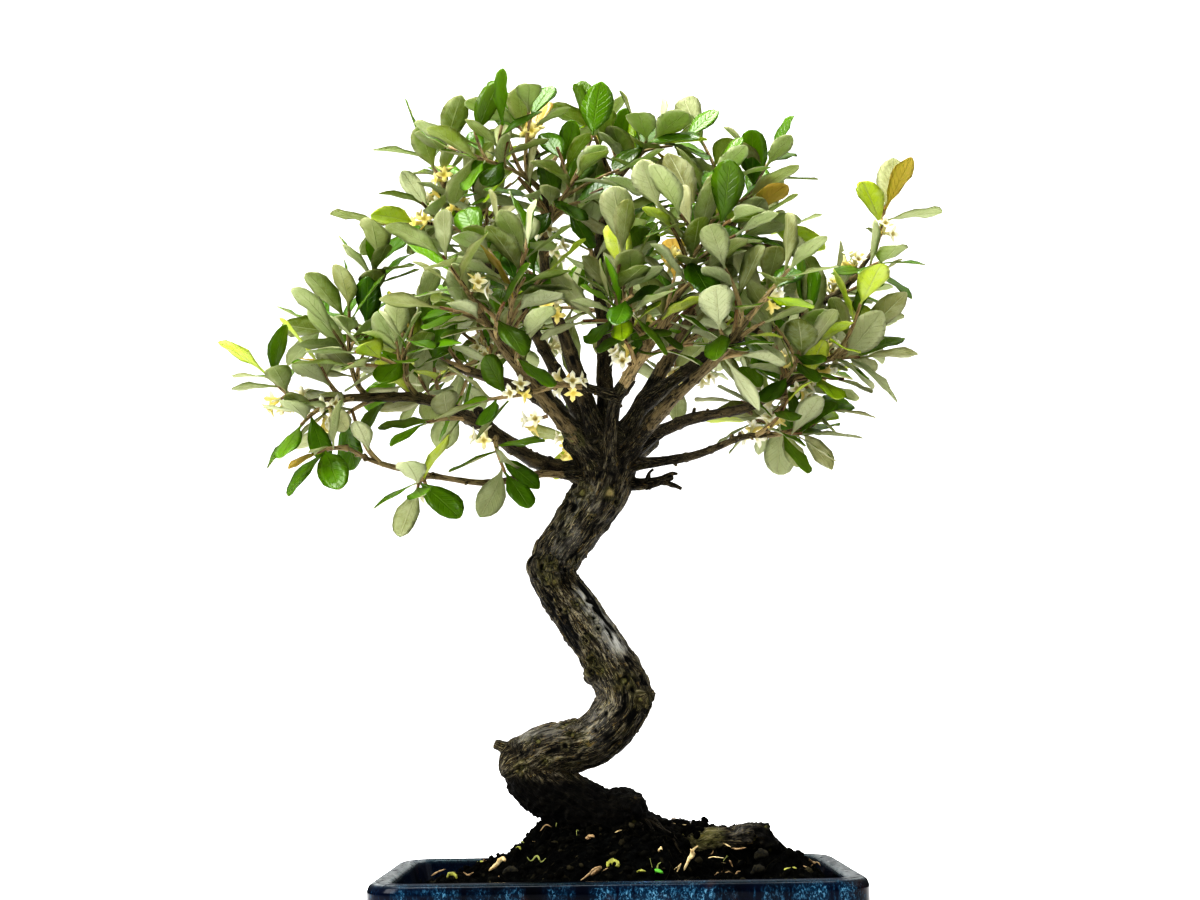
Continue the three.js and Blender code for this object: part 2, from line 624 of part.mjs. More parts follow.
// A leaf's own axes and sizes at a station of its shoot
function leafFrame(route, station, index, start, random, attempt) {
  const t = SHOOT_WOOD_SHARE + (1 - SHOOT_WOOD_SHARE) * station;
  const forward = heading(route, t);
  const side = squareTo(forward);
  const other = forward.clone().cross(side);
  const loose = LEAF_LOOSE + attempt * LEAF_LOOSER;
  const turn = start + index * LEAF_TURN + (random() - 0.5) * 2 * loose;
  const lean = station < 1 ? LEAF_LEAN - LEAF_LEAN_LOSS * station : TERMINAL_LEAN;
  const spread = lean + (random() - 0.5) * loose;
  const axis = forward.clone().multiplyScalar(Math.cos(spread));
  axis.addScaledVector(side, Math.sin(spread) * Math.cos(turn));
  axis.addScaledVector(other, Math.sin(spread) * Math.sin(turn)).normalize();
  const face = forward.clone().multiplyScalar(FACE_FORWARD);
  face.x += (random() - 0.5) * FACE_STRAY;
  face.y += (random() - 0.5) * FACE_STRAY;
  face.z += FACE_UP;
  face.addScaledVector(axis, -face.dot(axis)).normalize();
  const broad = random();
  const growth = LEAF_LENGTH_SPREAD * random() * (1 - BROAD_LEAF_LOSS * broad);
  const length = (LEAF_LENGTH_LEAST + growth) * (1 - LEAF_SHRINK * attempt);
  return {
    base: vector(along(route, t)),
    share: t,
    axis,
    face,
    across: face.clone().cross(axis),
    length,
    halfWidth: length * (LEAF_NARROW + (LEAF_BROAD - LEAF_NARROW) * broad),
    droop: (random() - 0.25) * LEAF_DROOP,
    terminal: station === 1,
  };
}

// Point of a leaf at a share of its length and a distance to one side
function leafPoint(leaf, share, aside, lift = 0) {
  const spot = leaf.base.clone().addScaledVector(leaf.axis, leaf.length * share);
  spot.addScaledVector(leaf.across, aside);
  const height = LEAF_FOLD * Math.abs(aside) - leaf.droop * leaf.length * share * share + lift;
  return spot.addScaledVector(leaf.face, height);
}

function leafHalfWidth(leaf, share) {
  const rows = [[0, PETIOLE_HALF_WIDTH / leaf.halfWidth], ...LEAF_OUTLINE, [1, LEAF_TIP_SHARE]];
  const next = Math.max(1, rows.findIndex((row) => row[0] >= share));
  const [from, to] = [rows[next - 1], rows[next]];
  return leaf.halfWidth * (from[1] + ((to[1] - from[1]) * (share - from[0])) / (to[0] - from[0]));
}

function leafSamples(leaf) {
  const samples = [];
  for (const share of SAMPLE_SHARES) {
    for (const side of [-1, 0, 1]) {
      const spot = leafPoint(leaf, share, side * SAMPLE_ASIDE * leafHalfWidth(leaf, share));
      samples.push({ x: spot.x, y: spot.y, z: spot.z, share });
    }
  }
  return samples;
}

// Blade from a ring of four root points: right edge, tip and left edge, and one low point on the midrib
function growBlade(skin, root, leaf) {
  const corner = leafPoint(leaf, 0, PETIOLE_HALF_WIDTH, -LEAF_THICKNESS).toArray();
  const [rightUnder, rightTop, leftTop, leftUnder] = skin.startNear(root, corner);
  const edge = (side, lift) => skin.add(LEAF_OUTLINE.map(([share, wide]) => (
    leafPoint(leaf, share, side * wide * leaf.halfWidth, lift).toArray())));
  const middle = (lift) => skin.add([leafPoint(leaf, MIDRIB_SHARE, 0, lift).toArray()])[0];
  const top = [rightTop, ...edge(1, 0), ...edge(-1, 0).reverse(), leftTop];
  const underEdge = (side) => edge(side, -LEAF_THICKNESS);
  const under = [rightUnder, ...underEdge(1), ...underEdge(-1).reverse(), leftUnder];
  const [topMiddle, underMiddle] = [middle(0), middle(-LEAF_THICKNESS)];
  const count = top.length;
  for (let i = 0; i < count; i += 1) {
    const next = (i + 1) % count;
    skin.corners.push(topMiddle, top[next], top[i]);
    skin.corners.push(underMiddle, under[i], under[next]);
    if (next > 0) {
      skin.corners.push(under[i], top[next], under[next], under[i], top[i], top[next]);
    }
  }
}

// Flower from a ring of four root points: a thin tube that opens in four pointed lobes
function growFlower(skin, root, origin, direction) {
  const side = squareTo(direction);
  const other = direction.clone().cross(side);
  const ring = (count, rise, reach, notch, lift) => skin.add(Array.from({ length: count }, (_, k) => {
    const angle = (2 * Math.PI * k) / count;
    const even = k % 2 === 0 || count === 4;
    const spot = origin.clone().addScaledVector(direction, rise + (even ? lift : 0));
    const far = even ? reach : notch;
    spot.addScaledVector(side, far * Math.cos(angle)).addScaledVector(other, far * Math.sin(angle));
    return spot.toArray();
  }));
  const mouth = FLOWER_LENGTH * MOUTH_SHARE;
  const throat = ring(4, FLOWER_LENGTH * THROAT_SHARE, THROAT_RADIUS, THROAT_RADIUS, 0);
  const under = ring(8, mouth, PETAL_REACH, PETAL_NOTCH, PETAL_LIFT);
  const top = ring(8, mouth + PETAL_THICKNESS, PETAL_REACH, PETAL_NOTCH, PETAL_LIFT);
  skin.bridge(root, throat);
  skin.bridge(throat, under);
  skin.bridge(under, top);
  const deep = origin.clone().addScaledVector(direction, FLOWER_LENGTH * HEART_SHARE);
  const [heart] = skin.add([deep.toArray()]);
  top.forEach((point, k) => skin.corners.push(heart, point, top[(k + 1) % top.length]));
}

// Rings of a shoot: the cut end of its woody part, then the leafy part, turned alike
function shootRings(route) {
  const gapShare = SHOOT_GAP / routeLength(route);
  const first = SHOOT_WOOD_SHARE + gapShare;
  const leafyShares = [first];
  for (let i = 0; i + 2 < LEAF_STATIONS.length; i += 1) {
    const between = (LEAF_STATIONS[i] + LEAF_STATIONS[i + 1]) / 2;
    leafyShares.push(SHOOT_WOOD_SHARE + (1 - SHOOT_WOOD_SHARE) * between);
  }
  leafyShares.push(1);
  const [cut, ...leafy] = ringsAt(route, [SHOOT_WOOD_SHARE, ...leafyShares], SHOOT_SIDES);
  return { cut, leafy, leafyShares };
}

// Flower clusters on every few branchlets, turned to where there is room
function flowerClusters() {
  const clusters = [];
  shootRoutes.forEach((route, index) => {
    if (index % FLOWER_EVERY !== 1) return;
    const random = seeded(SEED + 31 * index);
    const spot = along(route, FLOWER_SHARE);
    const forward = heading(route, FLOWER_SHARE);
    const side = squareTo(forward);
    const other = forward.clone().cross(side);
    for (let attempt = 0; attempt < FLOWER_TRIES; attempt += 1) {
      const turn = random() * 2 * Math.PI;
      const aim = side.clone().multiplyScalar(Math.cos(turn)).addScaledVector(other, Math.sin(turn));
      const root = vector(spot).addScaledVector(aim, spot[3] + SPUR_GAP);
      aim.addScaledVector(forward, SPUR_FORWARD).normalize();
      const samples = ROOM_STEPS.map((step) => {
        const place = root.clone().addScaledVector(aim, SPUR_LENGTH * step);
        return { x: place.x, y: place.y, z: place.z, share: 1 };
      });
      const blocked = samples.some((sample) => obstacles.some((o) => {
        const keep = o.keep + (sample === samples[0] ? -1 : FLOWER_MARGIN);
        const [dx, dy, dz] = [sample.x - o.x, sample.y - o.y, sample.z - o.z];
        return dx * dx + dy * dy + dz * dz < keep * keep;
      }));
      if (blocked) continue;
      clusters.push({ root, aim, random });
      const keep = FLOWER_CLEARANCE;
      obstacles.push(...samples.map((sample) => ({ ...sample, keep, owner: 'flowers' })));
      return;
    }
  });
  return clusters;
}

function clusterSolid({ root, aim, random }) {
  const fork = root.clone().addScaledVector(aim, SPUR_LENGTH);
  const route = [root, fork].map((spot) => [...spot.toArray(), SPUR_RADIUS]);
  const skin = new Skin();
  const stem = new Stem(skin, ringsAt(route, SPUR_SHARES, SPUR_SIDES), SPUR_SHARES);
  const side = squareTo(aim);
  const other = aim.clone().cross(side);
  const turn = random() * 2 * Math.PI;
  const lean = side.multiplyScalar(Math.cos(turn)).addScaledVector(other, Math.sin(turn));
  const ahead = aim.clone().addScaledVector(lean, -FLOWER_LEAN).normalize();
  const beside = aim.clone().addScaledVector(lean, SIDE_FLOWER_LEAN).normalize();
  const lower = root.clone().addScaledVector(aim, SPUR_LENGTH * SIDE_FLOWER_SHARE);
  growFlower(skin, stem.open(SIDE_FLOWER_SHARE, lean, FLOWER_GRAFT), lower, beside);
  growFlower(skin, stem.end, fork, ahead);
  stem.finish();
  return skin.solid();
}

// Limb with the woody part of every branchlet that leaves it
function limbSolid(name) {
  const route = LIMBS[name];
  const steps = Math.ceil(routeLength(route) / LIMB_STEP);
  const shares = Array.from({ length: steps + 1 }, (_, i) => i / steps);
  const sides = route[0][3] > THICK_LIMB ? THICK_LIMB_SIDES : LIMB_SIDES;
  const skin = new Skin();
  const stem = new Stem(skin, ringsAt(route, shares, sides), shares);
  let ended = false;
  SHOOTS.forEach(([limb, share], index) => {
    if (limb !== name) return;
    const atEnd = share === 1;
    const { cut } = shootRings(shootRoutes[index]);
    const out = vector(along(shootRoutes[index], SHOOT_WOOD_SHARE)).sub(vector(along(route, share)));
    const root = atEnd ? stem.end : stem.open(share, out, BRANCH_GRAFT);
    const last = skin.add(cut);
    skin.bridge(root, last);
    skin.close(last);
    ended = ended || atEnd;
  });
  stem.finish();
  if (!ended) skin.close(stem.end);
  return skin.solid();
}

function woodSolid() {
  return wasm.Manifold.union([
    tube(TRUNK_FOOT, TRUNK_SIDES, TRUNK_FOOT_STEPS, TRUNK_FLUTE),
    tube(TRUNK_TOP, TRUNK_SIDES, TRUNK_TOP_STEPS, TRUNK_FLUTE),
    ...ROOTS.map((route) => tube(route, ROOT_SIDES, ROOT_STEPS, TRUNK_FLUTE)),
    ...KNOTS.map((knot) => ball(knot)),
    ...STUBS.map((route) => tube(route, STUB_SIDES, route.length - 1)),
    ...Object.keys(LIMBS).map(limbSolid),
  ]).simplify(WOOD_SMOOTHING);
}

// What of the tree stands in the soil, a little wider all round
function woodBelowSolid() {
  return wasm.Manifold.union([
    tube(TRUNK_FOOT, TRUNK_SIDES, TRUNK_FOOT_STEPS, TRUNK_FLUTE, SOIL_GAP),
    ball(TRUNK_FOOT[0], SOIL_GAP),
    ...ROOTS.map((route) => tube(route, ROOT_SIDES, ROOT_STEPS, TRUNK_FLUTE, SOIL_GAP)),
    ball(KNOTS[0], SOIL_GAP),
  ]);
}

function spraySolid(route, leaves) {
  const { leafy, leafyShares } = shootRings(route);
  const skin = new Skin();
  const stem = new Stem(skin, leafy, leafyShares);
  let ended = false;
  for (const leaf of leaves) {
    const root = leaf.terminal ? stem.end : stem.open(leaf.share, leaf.axis, LEAF_GRAFT);
    growBlade(skin, root, leaf);
    ended = ended || leaf.terminal;
  }
  stem.finish();
  if (!ended) skin.close(stem.end);
  return skin.solid();
}

function growLeaves(route, shoot) {
  const random = seeded(SEED + 977 * shoot);
  const start = random() * 2 * Math.PI;
  const leaves = [];
  LEAF_STATIONS.forEach((station, index) => {
    for (let attempt = 0; attempt < LEAF_TRIES; attempt += 1) {
      const leaf = leafFrame(route, station, index, start, random, attempt);
      const samples = leafSamples(leaf);
      if (!isClear(samples, shoot)) continue;
      leaves.push(leaf);
      const keep = LEAF_CLEARANCE;
      obstacles.push(...samples.map((sample) => ({ ...sample, keep, owner: shoot })));
      return;
    }
  });
  return leaves;
}

const materials = {
  glaze: new THREE.MeshStandardMaterial({ color: 0x141b33, roughness: 0.15, metalness: 0 }),
  soil: new THREE.MeshStandardMaterial({ color: 0x1d1813, roughness: 0.95, metalness: 0 }),
  bark: new THREE.MeshStandardMaterial({ color: 0x5a4d3e, roughness: 0.85, metalness: 0 }),
  leaf: new THREE.MeshStandardMaterial({ color: 0x7f9a62, roughness: 0.5, metalness: 0 }),
  petal: new THREE.MeshStandardMaterial({ color: 0xeee3a8, roughness: 0.6, metalness: 0 }),
};

function named(name, shape, material) {
  const { vertProperties, triVerts } = shape.getMesh();
  const geometry = new THREE.BufferGeometry();
  geometry.setAttribute('position', new THREE.BufferAttribute(vertProperties, 3));
  geometry.setIndex(new THREE.BufferAttribute(triVerts, 1));
  const mesh = new THREE.Mesh(geometry, materials[material]);
  mesh.name = name;
  return mesh;
}

const number = (n) => String(n).padStart(2, '0');

const bonsai = new THREE.Group();
bonsai.add(named('pot', potSolid(), 'glaze'));
bonsai.add(named('soil', soilSolid(woodBelowSolid()), 'soil'));
bonsai.add(named('wood', woodSolid(), 'bark'));
flowerClusters().forEach((cluster, index) => {
  bonsai.add(named(`flowers_${number(index + 1)}`, clusterSolid(cluster), 'petal'));
});
shootRoutes.forEach((route, index) => {
  bonsai.add(named(`spray_${number(index + 1)}`, spraySolid(route, growLeaves(route, index)), 'leaf'));
});

const box = new THREE.Box3().setFromObject(bonsai);
const middle = box.getCenter(new THREE.Vector3());
bonsai.position.set(-middle.x, -middle.y, -box.min.z);

export default bonsai;
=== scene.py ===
"""Silverberry bonsai in a glazed tray pot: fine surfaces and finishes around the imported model.

The tree is laid out in millimetres from the middle of the pot, with the pot's feet at height zero, and each
finished piece is moved into the frame's metres by Draft.piece. The same seeded rule of growth that sets the
model's shoots, leaves and flowers is followed here, so every fine leaf lies where the model's leaf lies.
"""

import logging
import math
from dataclasses import dataclass, field
from enum import Enum
from itertools import product
from typing import Callable, Sequence

import bpy
import numpy as np
from mathutils import Matrix, Vector
from mathutils.kdtree import KDTree

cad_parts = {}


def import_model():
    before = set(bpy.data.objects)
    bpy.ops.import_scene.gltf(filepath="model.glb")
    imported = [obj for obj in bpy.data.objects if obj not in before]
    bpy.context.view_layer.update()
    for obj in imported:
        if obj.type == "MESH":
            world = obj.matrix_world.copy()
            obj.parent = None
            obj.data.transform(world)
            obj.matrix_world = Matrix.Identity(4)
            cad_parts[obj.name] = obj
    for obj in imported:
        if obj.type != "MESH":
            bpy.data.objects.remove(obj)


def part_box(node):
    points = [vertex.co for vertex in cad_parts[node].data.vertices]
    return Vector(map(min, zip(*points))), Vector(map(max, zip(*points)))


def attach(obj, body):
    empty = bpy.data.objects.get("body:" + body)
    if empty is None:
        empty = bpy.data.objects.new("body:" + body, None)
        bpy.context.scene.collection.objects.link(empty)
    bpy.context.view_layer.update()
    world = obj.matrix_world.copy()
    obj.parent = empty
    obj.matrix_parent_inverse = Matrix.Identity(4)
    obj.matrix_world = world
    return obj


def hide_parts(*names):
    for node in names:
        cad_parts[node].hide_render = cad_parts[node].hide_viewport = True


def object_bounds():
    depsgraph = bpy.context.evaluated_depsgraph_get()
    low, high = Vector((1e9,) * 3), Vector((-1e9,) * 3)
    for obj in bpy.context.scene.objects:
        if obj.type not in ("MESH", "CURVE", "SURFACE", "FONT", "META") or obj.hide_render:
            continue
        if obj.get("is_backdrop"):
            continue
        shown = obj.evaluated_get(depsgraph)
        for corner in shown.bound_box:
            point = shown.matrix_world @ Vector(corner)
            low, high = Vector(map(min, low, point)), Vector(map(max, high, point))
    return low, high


log = logging.getLogger("silverberry")

Array = np.ndarray
Triple = tuple[float, float, float]
Ball = tuple[float, float, float, float]
MM = 0.001
UP = np.array([0.0, 0.0, 1.0])


def knots(*rows: Sequence[float]) -> Array:
    """Rows of x, y, z and radius in millimetres, as an array."""
    return np.array(rows, float)


# The trunk in two routes: out of the soil to the low elbow, then up to the crown
TRUNK_FOOT = knots(
    (24, 2, 34, 11), (16, 2, 58, 14.5), (2, 2, 78, 14.5), (-20, 1, 92, 13.8), (-38, 2, 104, 13.6),
    (-44, 2, 114, 13),
)
TRUNK_TOP = knots(
    (-45, 2, 113, 13), (-33, 0, 119, 13), (-12, -4, 124, 12.2), (2, -10, 137, 13),
    (4, -12, 149, 13.2), (-6, -8, 168, 11.8), (-20, -2, 189, 12.2), (-29, 3, 203, 11.6),
    (-29, 4, 214, 12.4), (-17, 2, 231, 12.8), (-6, 0, 247, 14), (-3, 1, 262, 15), (-2, 3, 275, 10),
)
ROOTS = (
    knots((-2, 0, 82, 12), (14, -2, 78, 11), (32, -6, 73, 7), (48, -8, 71, 4.5)),
    knots((34, -6, 70, 4), (44, -8, 75, 5.4), (58, -10, 76, 5.4), (68, -10, 77, 6.4), (76, -10, 71, 5)),
    knots((0, 0, 74, 11), (-14, -18, 66, 8), (-22, -34, 56, 5)),
    knots((10, 4, 72, 11), (16, 26, 64, 8), (22, 44, 54, 5)),
    knots((-12, 4, 82, 9), (-32, 8, 72, 7), (-48, 12, 62, 4)),
)
SWELLINGS = knots(
    (3, 0, 88, 12.5), (9, -15, 143, 8), (10, -17, 151, 5), (-36, -2, 210, 7.5), (-31, -7, 205, 6),
    (-40, 0, 120, 7), (-3, -2, 262, 16),
)
STUBS = (
    knots((-46, 1, 118, 3.4), (-60, 0, 123, 2.6)),
    knots((12, -16, 144, 4.6), (16, -25, 146, 4.2)),
    knots((2, 0, 252, 4), (18, -4, 251, 3), (31, -8, 254, 1.8)),
    knots((-10, -6, 262, 6), (-20, -18, 272, 5.2)),
    knots((-60, -10, 279, 3), (-66, -22, 287, 2.6)),
    knots((12, 6, 268, 5), (22, 16, 276, 4.4)),
)
LIMBS = {
    "left_low": knots((-6, 0, 257, 7), (-36, -8, 262, 5.6), (-65, -14, 281, 4.6), (-92, -18, 293, 3.8),
                      (-124, -22, 294, 2.8), (-151, -24, 291, 2)),
    "left_twig": knots((-11, -6, 254, 3), (-35, -16, 255, 2.4), (-65, -26, 250, 2.1),
                       (-110, -36, 258, 1.7), (-128, -40, 266, 1.4)),
    "left_mid": knots((-8, 4, 269, 6), (-36, 8, 297, 4.4), (-72, 14, 313, 3.4), (-109, 16, 325, 2.5),
                      (-132, 18, 331, 1.8)),
    "left_up": knots((-5, 6, 270, 7), (-26, 18, 310, 4.8), (-46, 26, 348, 3.8), (-69, 30, 384, 2.6),
                     (-82, 30, 408, 1.8)),
    "up_left": knots((-4, 0, 270, 7), (-20, -6, 318, 4.8), (-32, -14, 357, 3.6), (-31, -20, 393, 2.5),
                     (-35, -22, 417, 1.7)),
    "up_mid": knots((-2, 4, 272, 7), (-3, 10, 326, 4.8), (-5, 16, 376, 3.4), (2, 20, 412, 2.4),
                    (-2, 22, 430, 1.7)),
    "right_up": knots((2, 6, 270, 7.5), (22, 12, 304, 5.4), (43, 18, 340, 4.2), (60, 22, 378, 2.9),
                      (72, 24, 403, 1.9)),
    "right_out": knots((16, 10, 294, 5), (56, 4, 321, 3.8), (90, -4, 335, 3), (118, -8, 348, 2.2),
                       (135, -8, 368, 1.5)),
    "right_mid": knots((4, 0, 265, 6), (35, -10, 281, 4), (68, -18, 287, 3.1), (88, -22, 298, 2.4),
                       (103, -24, 308, 1.8)),
    "right_low": knots((4, -4, 260, 4.4), (40, -16, 263, 2.9), (64, -22, 271, 2.2), (77, -24, 272, 1.6)),
    "front_fork": knots((-2, -8, 257, 5.4), (2, -32, 287, 4.6), (11, -48, 301, 4), (25, -62, 320, 2.9),
                        (34, -70, 336, 2)),
    "front_arm": knots((4, -36, 290, 3), (-20, -50, 294, 2.3), (-38, -58, 289, 1.7)),
    "front_left": knots((-8, -10, 262, 6), (-30, -46, 284, 4), (-50, -74, 307, 2.9), (-60, -88, 322, 1.9)),
    "front_right": knots((6, -8, 264, 6), (30, -52, 286, 4), (52, -76, 303, 2.9), (64, -88, 317, 1.9)),
    "back_left": knots((-6, 10, 267, 6.5), (-30, 46, 302, 4.2), (-54, 74, 336, 3), (-68, 88, 354, 1.9)),
    "back_mid": knots((-2, 12, 270, 6.5), (-2, 46, 314, 4.2), (4, 72, 352, 3), (8, 82, 378, 1.9)),
    "back_right": knots((4, 12, 269, 6.5), (28, 48, 303, 4.2), (54, 76, 334, 3), (68, 90, 350, 1.9)),
    "back_low": knots((0, 10, 262, 5), (-4, 46, 276, 3.4), (-12, 82, 284, 2.4), (-16, 98, 286, 1.7)),
}
# Shoots: the limb, how far along it the branchlet leaves, and where the shoot's tip is
SHOOTS = (
    ("left_low", 1.0, (-170, -25, 306)), ("left_low", 0.88, (-150, -44, 277)),
    ("left_low", 0.62, (-104, -44, 318)), ("left_low", 0.78, (-132, -8, 336)),
    ("left_low", 0.34, (-52, -34, 254)), ("left_twig", 1.0, (-142, -52, 262)),
    ("left_twig", 0.62, (-92, -58, 244)), ("left_mid", 1.0, (-152, 24, 340)),
    ("left_mid", 0.78, (-122, 10, 366)), ("left_mid", 0.6, (-104, 52, 330)),
    ("left_up", 1.0, (-96, 28, 434)), ("left_up", 0.8, (-120, 44, 400)),
    ("left_up", 0.72, (-66, 58, 432)), ("up_left", 1.0, (-46, -24, 434)),
    ("up_left", 0.78, (-64, -48, 408)), ("up_left", 0.62, (-14, -56, 396)),
    ("up_mid", 1.0, (-8, 24, 446)), ("up_mid", 0.74, (24, -2, 430)),
    ("right_up", 1.0, (88, 24, 428)), ("right_up", 0.84, (50, 30, 442)),
    ("right_up", 0.62, (48, -26, 396)), ("right_up", 0.72, (98, 54, 398)),
    ("right_out", 1.0, (142, -8, 392)), ("right_out", 0.82, (134, -34, 356)),
    ("right_out", 0.66, (118, 26, 346)), ("right_mid", 1.0, (124, -26, 310)),
    ("right_mid", 0.62, (92, -56, 306)), ("right_low", 1.0, (94, -28, 272)),
    ("right_mid", 0.66, (88, 16, 280)), ("front_fork", 1.0, (42, -80, 356)),
    ("front_fork", 0.62, (0, -86, 322)), ("front_arm", 1.0, (-58, -68, 284)),
    ("front_left", 1.0, (-76, -108, 344)), ("front_left", 0.62, (-38, -88, 352)),
    ("front_right", 1.0, (82, -106, 336)), ("back_left", 1.0, (-84, 108, 372)),
    ("back_left", 0.66, (-98, 84, 318)), ("back_mid", 1.0, (10, 96, 402)),
    ("back_right", 1.0, (86, 106, 370)), ("back_right", 0.64, (104, 72, 326)),
    ("back_low", 1.0, (-22, 122, 294)), ("back_mid", 0.66, (-36, 106, 366)),
)


# Geometry helpers


def unit(vectors: Array) -> Array:
    """Vectors divided by their length."""
    return vectors / np.maximum(np.linalg.norm(vectors, axis=-1, keepdims=True), 1e-12)


def along(route: Array, share: float | Array) -> Array:
    """Places and radii on a Catmull-Rom curve through a route.

    Args:
        route: Rows of x, y, z and radius.
        share: How far along the route, from 0 to 1.

    Returns:
        x, y, z and radius for each share.
    """
    ends = np.vstack([2 * route[0] - route[1], route, 2 * route[-1] - route[-2]])
    spans = len(route) - 1
    place = np.minimum(np.asarray(share, float) * spans, spans - 1e-9)
    span = np.floor(place).astype(int)
    u = (place - span)[..., None]
    before, start, stop, after = (ends[span + k] for k in range(4))
    bend = (2 * before - 5 * start + 4 * stop - after) * u * u
    twist = (3 * start - before - 3 * stop + after) * u * u * u
    return 0.5 * (2 * start + (stop - before) * u + bend + twist)


def heading(route: Array, share: float | Array) -> Array:
    """Unit direction of a route at each share."""
    share = np.asarray(share, float)
    ahead = along(route, np.minimum(share + 0.01, 1))
    behind = along(route, np.maximum(share - 0.01, 0))
    return unit(ahead[..., :3] - behind[..., :3])


def reach(route: Array) -> float:
    """Length of a route, knot to knot."""
    return float(np.linalg.norm(np.diff(route[:, :3], axis=0), axis=1).sum())


def square_to(direction: Array) -> Array:
    """Unit vectors square to the given ones."""
    steep = np.abs(direction[..., 2:3]) < 0.9
    helper = np.where(steep, UP, np.array([1.0, 0.0, 0.0]))
    return unit(np.cross(helper, direction))


def around(forward: Array, turn: float) -> Array:
    """Unit vector square to the way forward, at an angle round it."""
    side = square_to(forward)
    return side * math.cos(turn) + np.cross(forward, side) * math.sin(turn)


def smooth_step(low: float, high: float, value: Array) -> Array:
    """0 below low, 1 above high, and a smooth rise between; low may be the greater one."""
    t = np.clip((value - low) / (high - low), 0, 1)
    return t * t * (3 - 2 * t)


def in_scene(name: str, data: bpy.types.ID) -> bpy.types.Object:
    """A new object in the scene, at the origin."""
    made = bpy.data.objects.new(name, data)
    bpy.context.scene.collection.objects.link(made)
    return made


class Draws:
    """Seeded numbers from 0 to 1, the same as the model's own."""

    MODULUS = 2147483647
    FACTOR = 48271

    def __init__(self, seed: int) -> None:
        """Starts the row of numbers at a seed."""
        self.state = seed % self.MODULUS

    def __call__(self) -> float:
        """The next number."""
        self.state = (self.state * self.FACTOR) % self.MODULUS
        return self.state / self.MODULUS


class Roughness:
    """Smooth random height over space: eight hashed lattice values round a point, blended by a cubic."""

    PRIMES = (73856093, 19349663, 83492791)
    TABLE = 4096

    def __init__(self, seed: int) -> None:
        """Fills the table of lattice values."""
        self.values = np.random.default_rng(seed).random(self.TABLE) * 2 - 1

    def at(self, points: Array, size: float | Sequence[float]) -> Array:
        """Heights from -1 to 1.

        Args:
            points: Places, with three numbers each.
            size: Width of a lattice cell, one for all axes or one for each.

        Returns:
            One height for each point.
        """
        spot = points / np.asarray(size, float)
        cell = np.floor(spot).astype(np.int64)
        blend = spot - cell
        blend = blend * blend * (3 - 2 * blend)
        total = np.zeros(points.shape[:-1])
        for corner in product((0, 1), repeat=3):
            key = np.zeros(points.shape[:-1], np.int64)
            weight = np.ones(points.shape[:-1])
            for axis, step in enumerate(corner):
                key ^= (cell[..., axis] + step) * self.PRIMES[axis]
                weight = weight * (blend[..., axis] if step else 1 - blend[..., axis])
            total += weight * self.values[key & (self.TABLE - 1)]
        return total


class Draft:
    """Mesh under construction, in millimetres, with named vectors at points and a finish for each face."""

    origin = np.zeros(3)

    def __init__(self, *marks: str) -> None:
        """Starts an empty mesh whose points carry the named vectors."""
        self.points: list[Array] = []
        self.faces: list[Array] = []
        self.finish: list[Array] = []
        self.marks: dict[str, list[Array]] = {name: [] for name in marks}
        self.count = 0

    def add(self, points: Array, faces: Sequence[Array], finish: int | Sequence[int] = 0,
            **marks: Array) -> None:
        """Adds points, and faces that number them from zero.

        Args:
            points: Places in millimetres.
            faces: Arrays of corner numbers, three or four to a row.
            finish: Number of the material, for all these faces or for each array of them.
            marks: Vectors at the points, by name; those left out are zero.
        """
        points = np.asarray(points, float).reshape(-1, 3)
        self.points.append(points)
        finishes = [finish] * len(faces) if isinstance(finish, int) else finish
        for group, number in zip(faces, finishes):
            if len(group):
                self.faces.append(np.asarray(group, np.int64) + self.count)
                self.finish.append(np.full(len(group), number))
        for name, rows in self.marks.items():
            given = marks.get(name)
            rows.append(np.zeros_like(points) if given is None else np.broadcast_to(given, points.shape))
        self.count += len(points)

    def piece(self, name: str, materials: Sequence[bpy.types.Material], slot: str) -> bpy.types.Object:
        """Makes the object, in the frame's metres, riding on the root body.

        Args:
            name: Name of the piece.
            materials: The finishes, in the order of their numbers.
            slot: Not used.

        Returns:
            The new object, at the origin.
        """
        mesh = bpy.data.meshes.new(name)
        points = (np.concatenate(self.points) + Draft.origin) * MM
        corners = np.concatenate([group.ravel() for group in self.faces])
        sizes = np.concatenate([np.full(len(group), group.shape[1]) for group in self.faces])
        mesh.vertices.add(len(points))
        mesh.vertices.foreach_set("co", points.astype(np.float32).ravel())
        mesh.loops.add(len(corners))
        mesh.loops.foreach_set("vertex_index", corners.astype(np.int32))
        mesh.polygons.add(len(sizes))
        starts = np.concatenate([[0], np.cumsum(sizes)[:-1]]).astype(np.int32)
        mesh.polygons.foreach_set("loop_start", starts)
        mesh.polygons.foreach_set("material_index", np.concatenate(self.finish).astype(np.int32))
        mesh.polygons.foreach_set("use_smooth", np.ones(len(sizes), bool))
        for key, rows in self.marks.items():
            vectors = mesh.attributes.new(key, "FLOAT_VECTOR", "POINT")
            vectors.data.foreach_set("vector", np.concatenate(rows).astype(np.float32).ravel())
        mesh.update(calc_edges=True)
        mesh.validate()
        for material in materials:
            mesh.materials.append(material)
        made = in_scene(name, mesh)
        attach(made, "root")
        log.info("%s: %d triangles", name, int((sizes - 2).sum()))
        return made


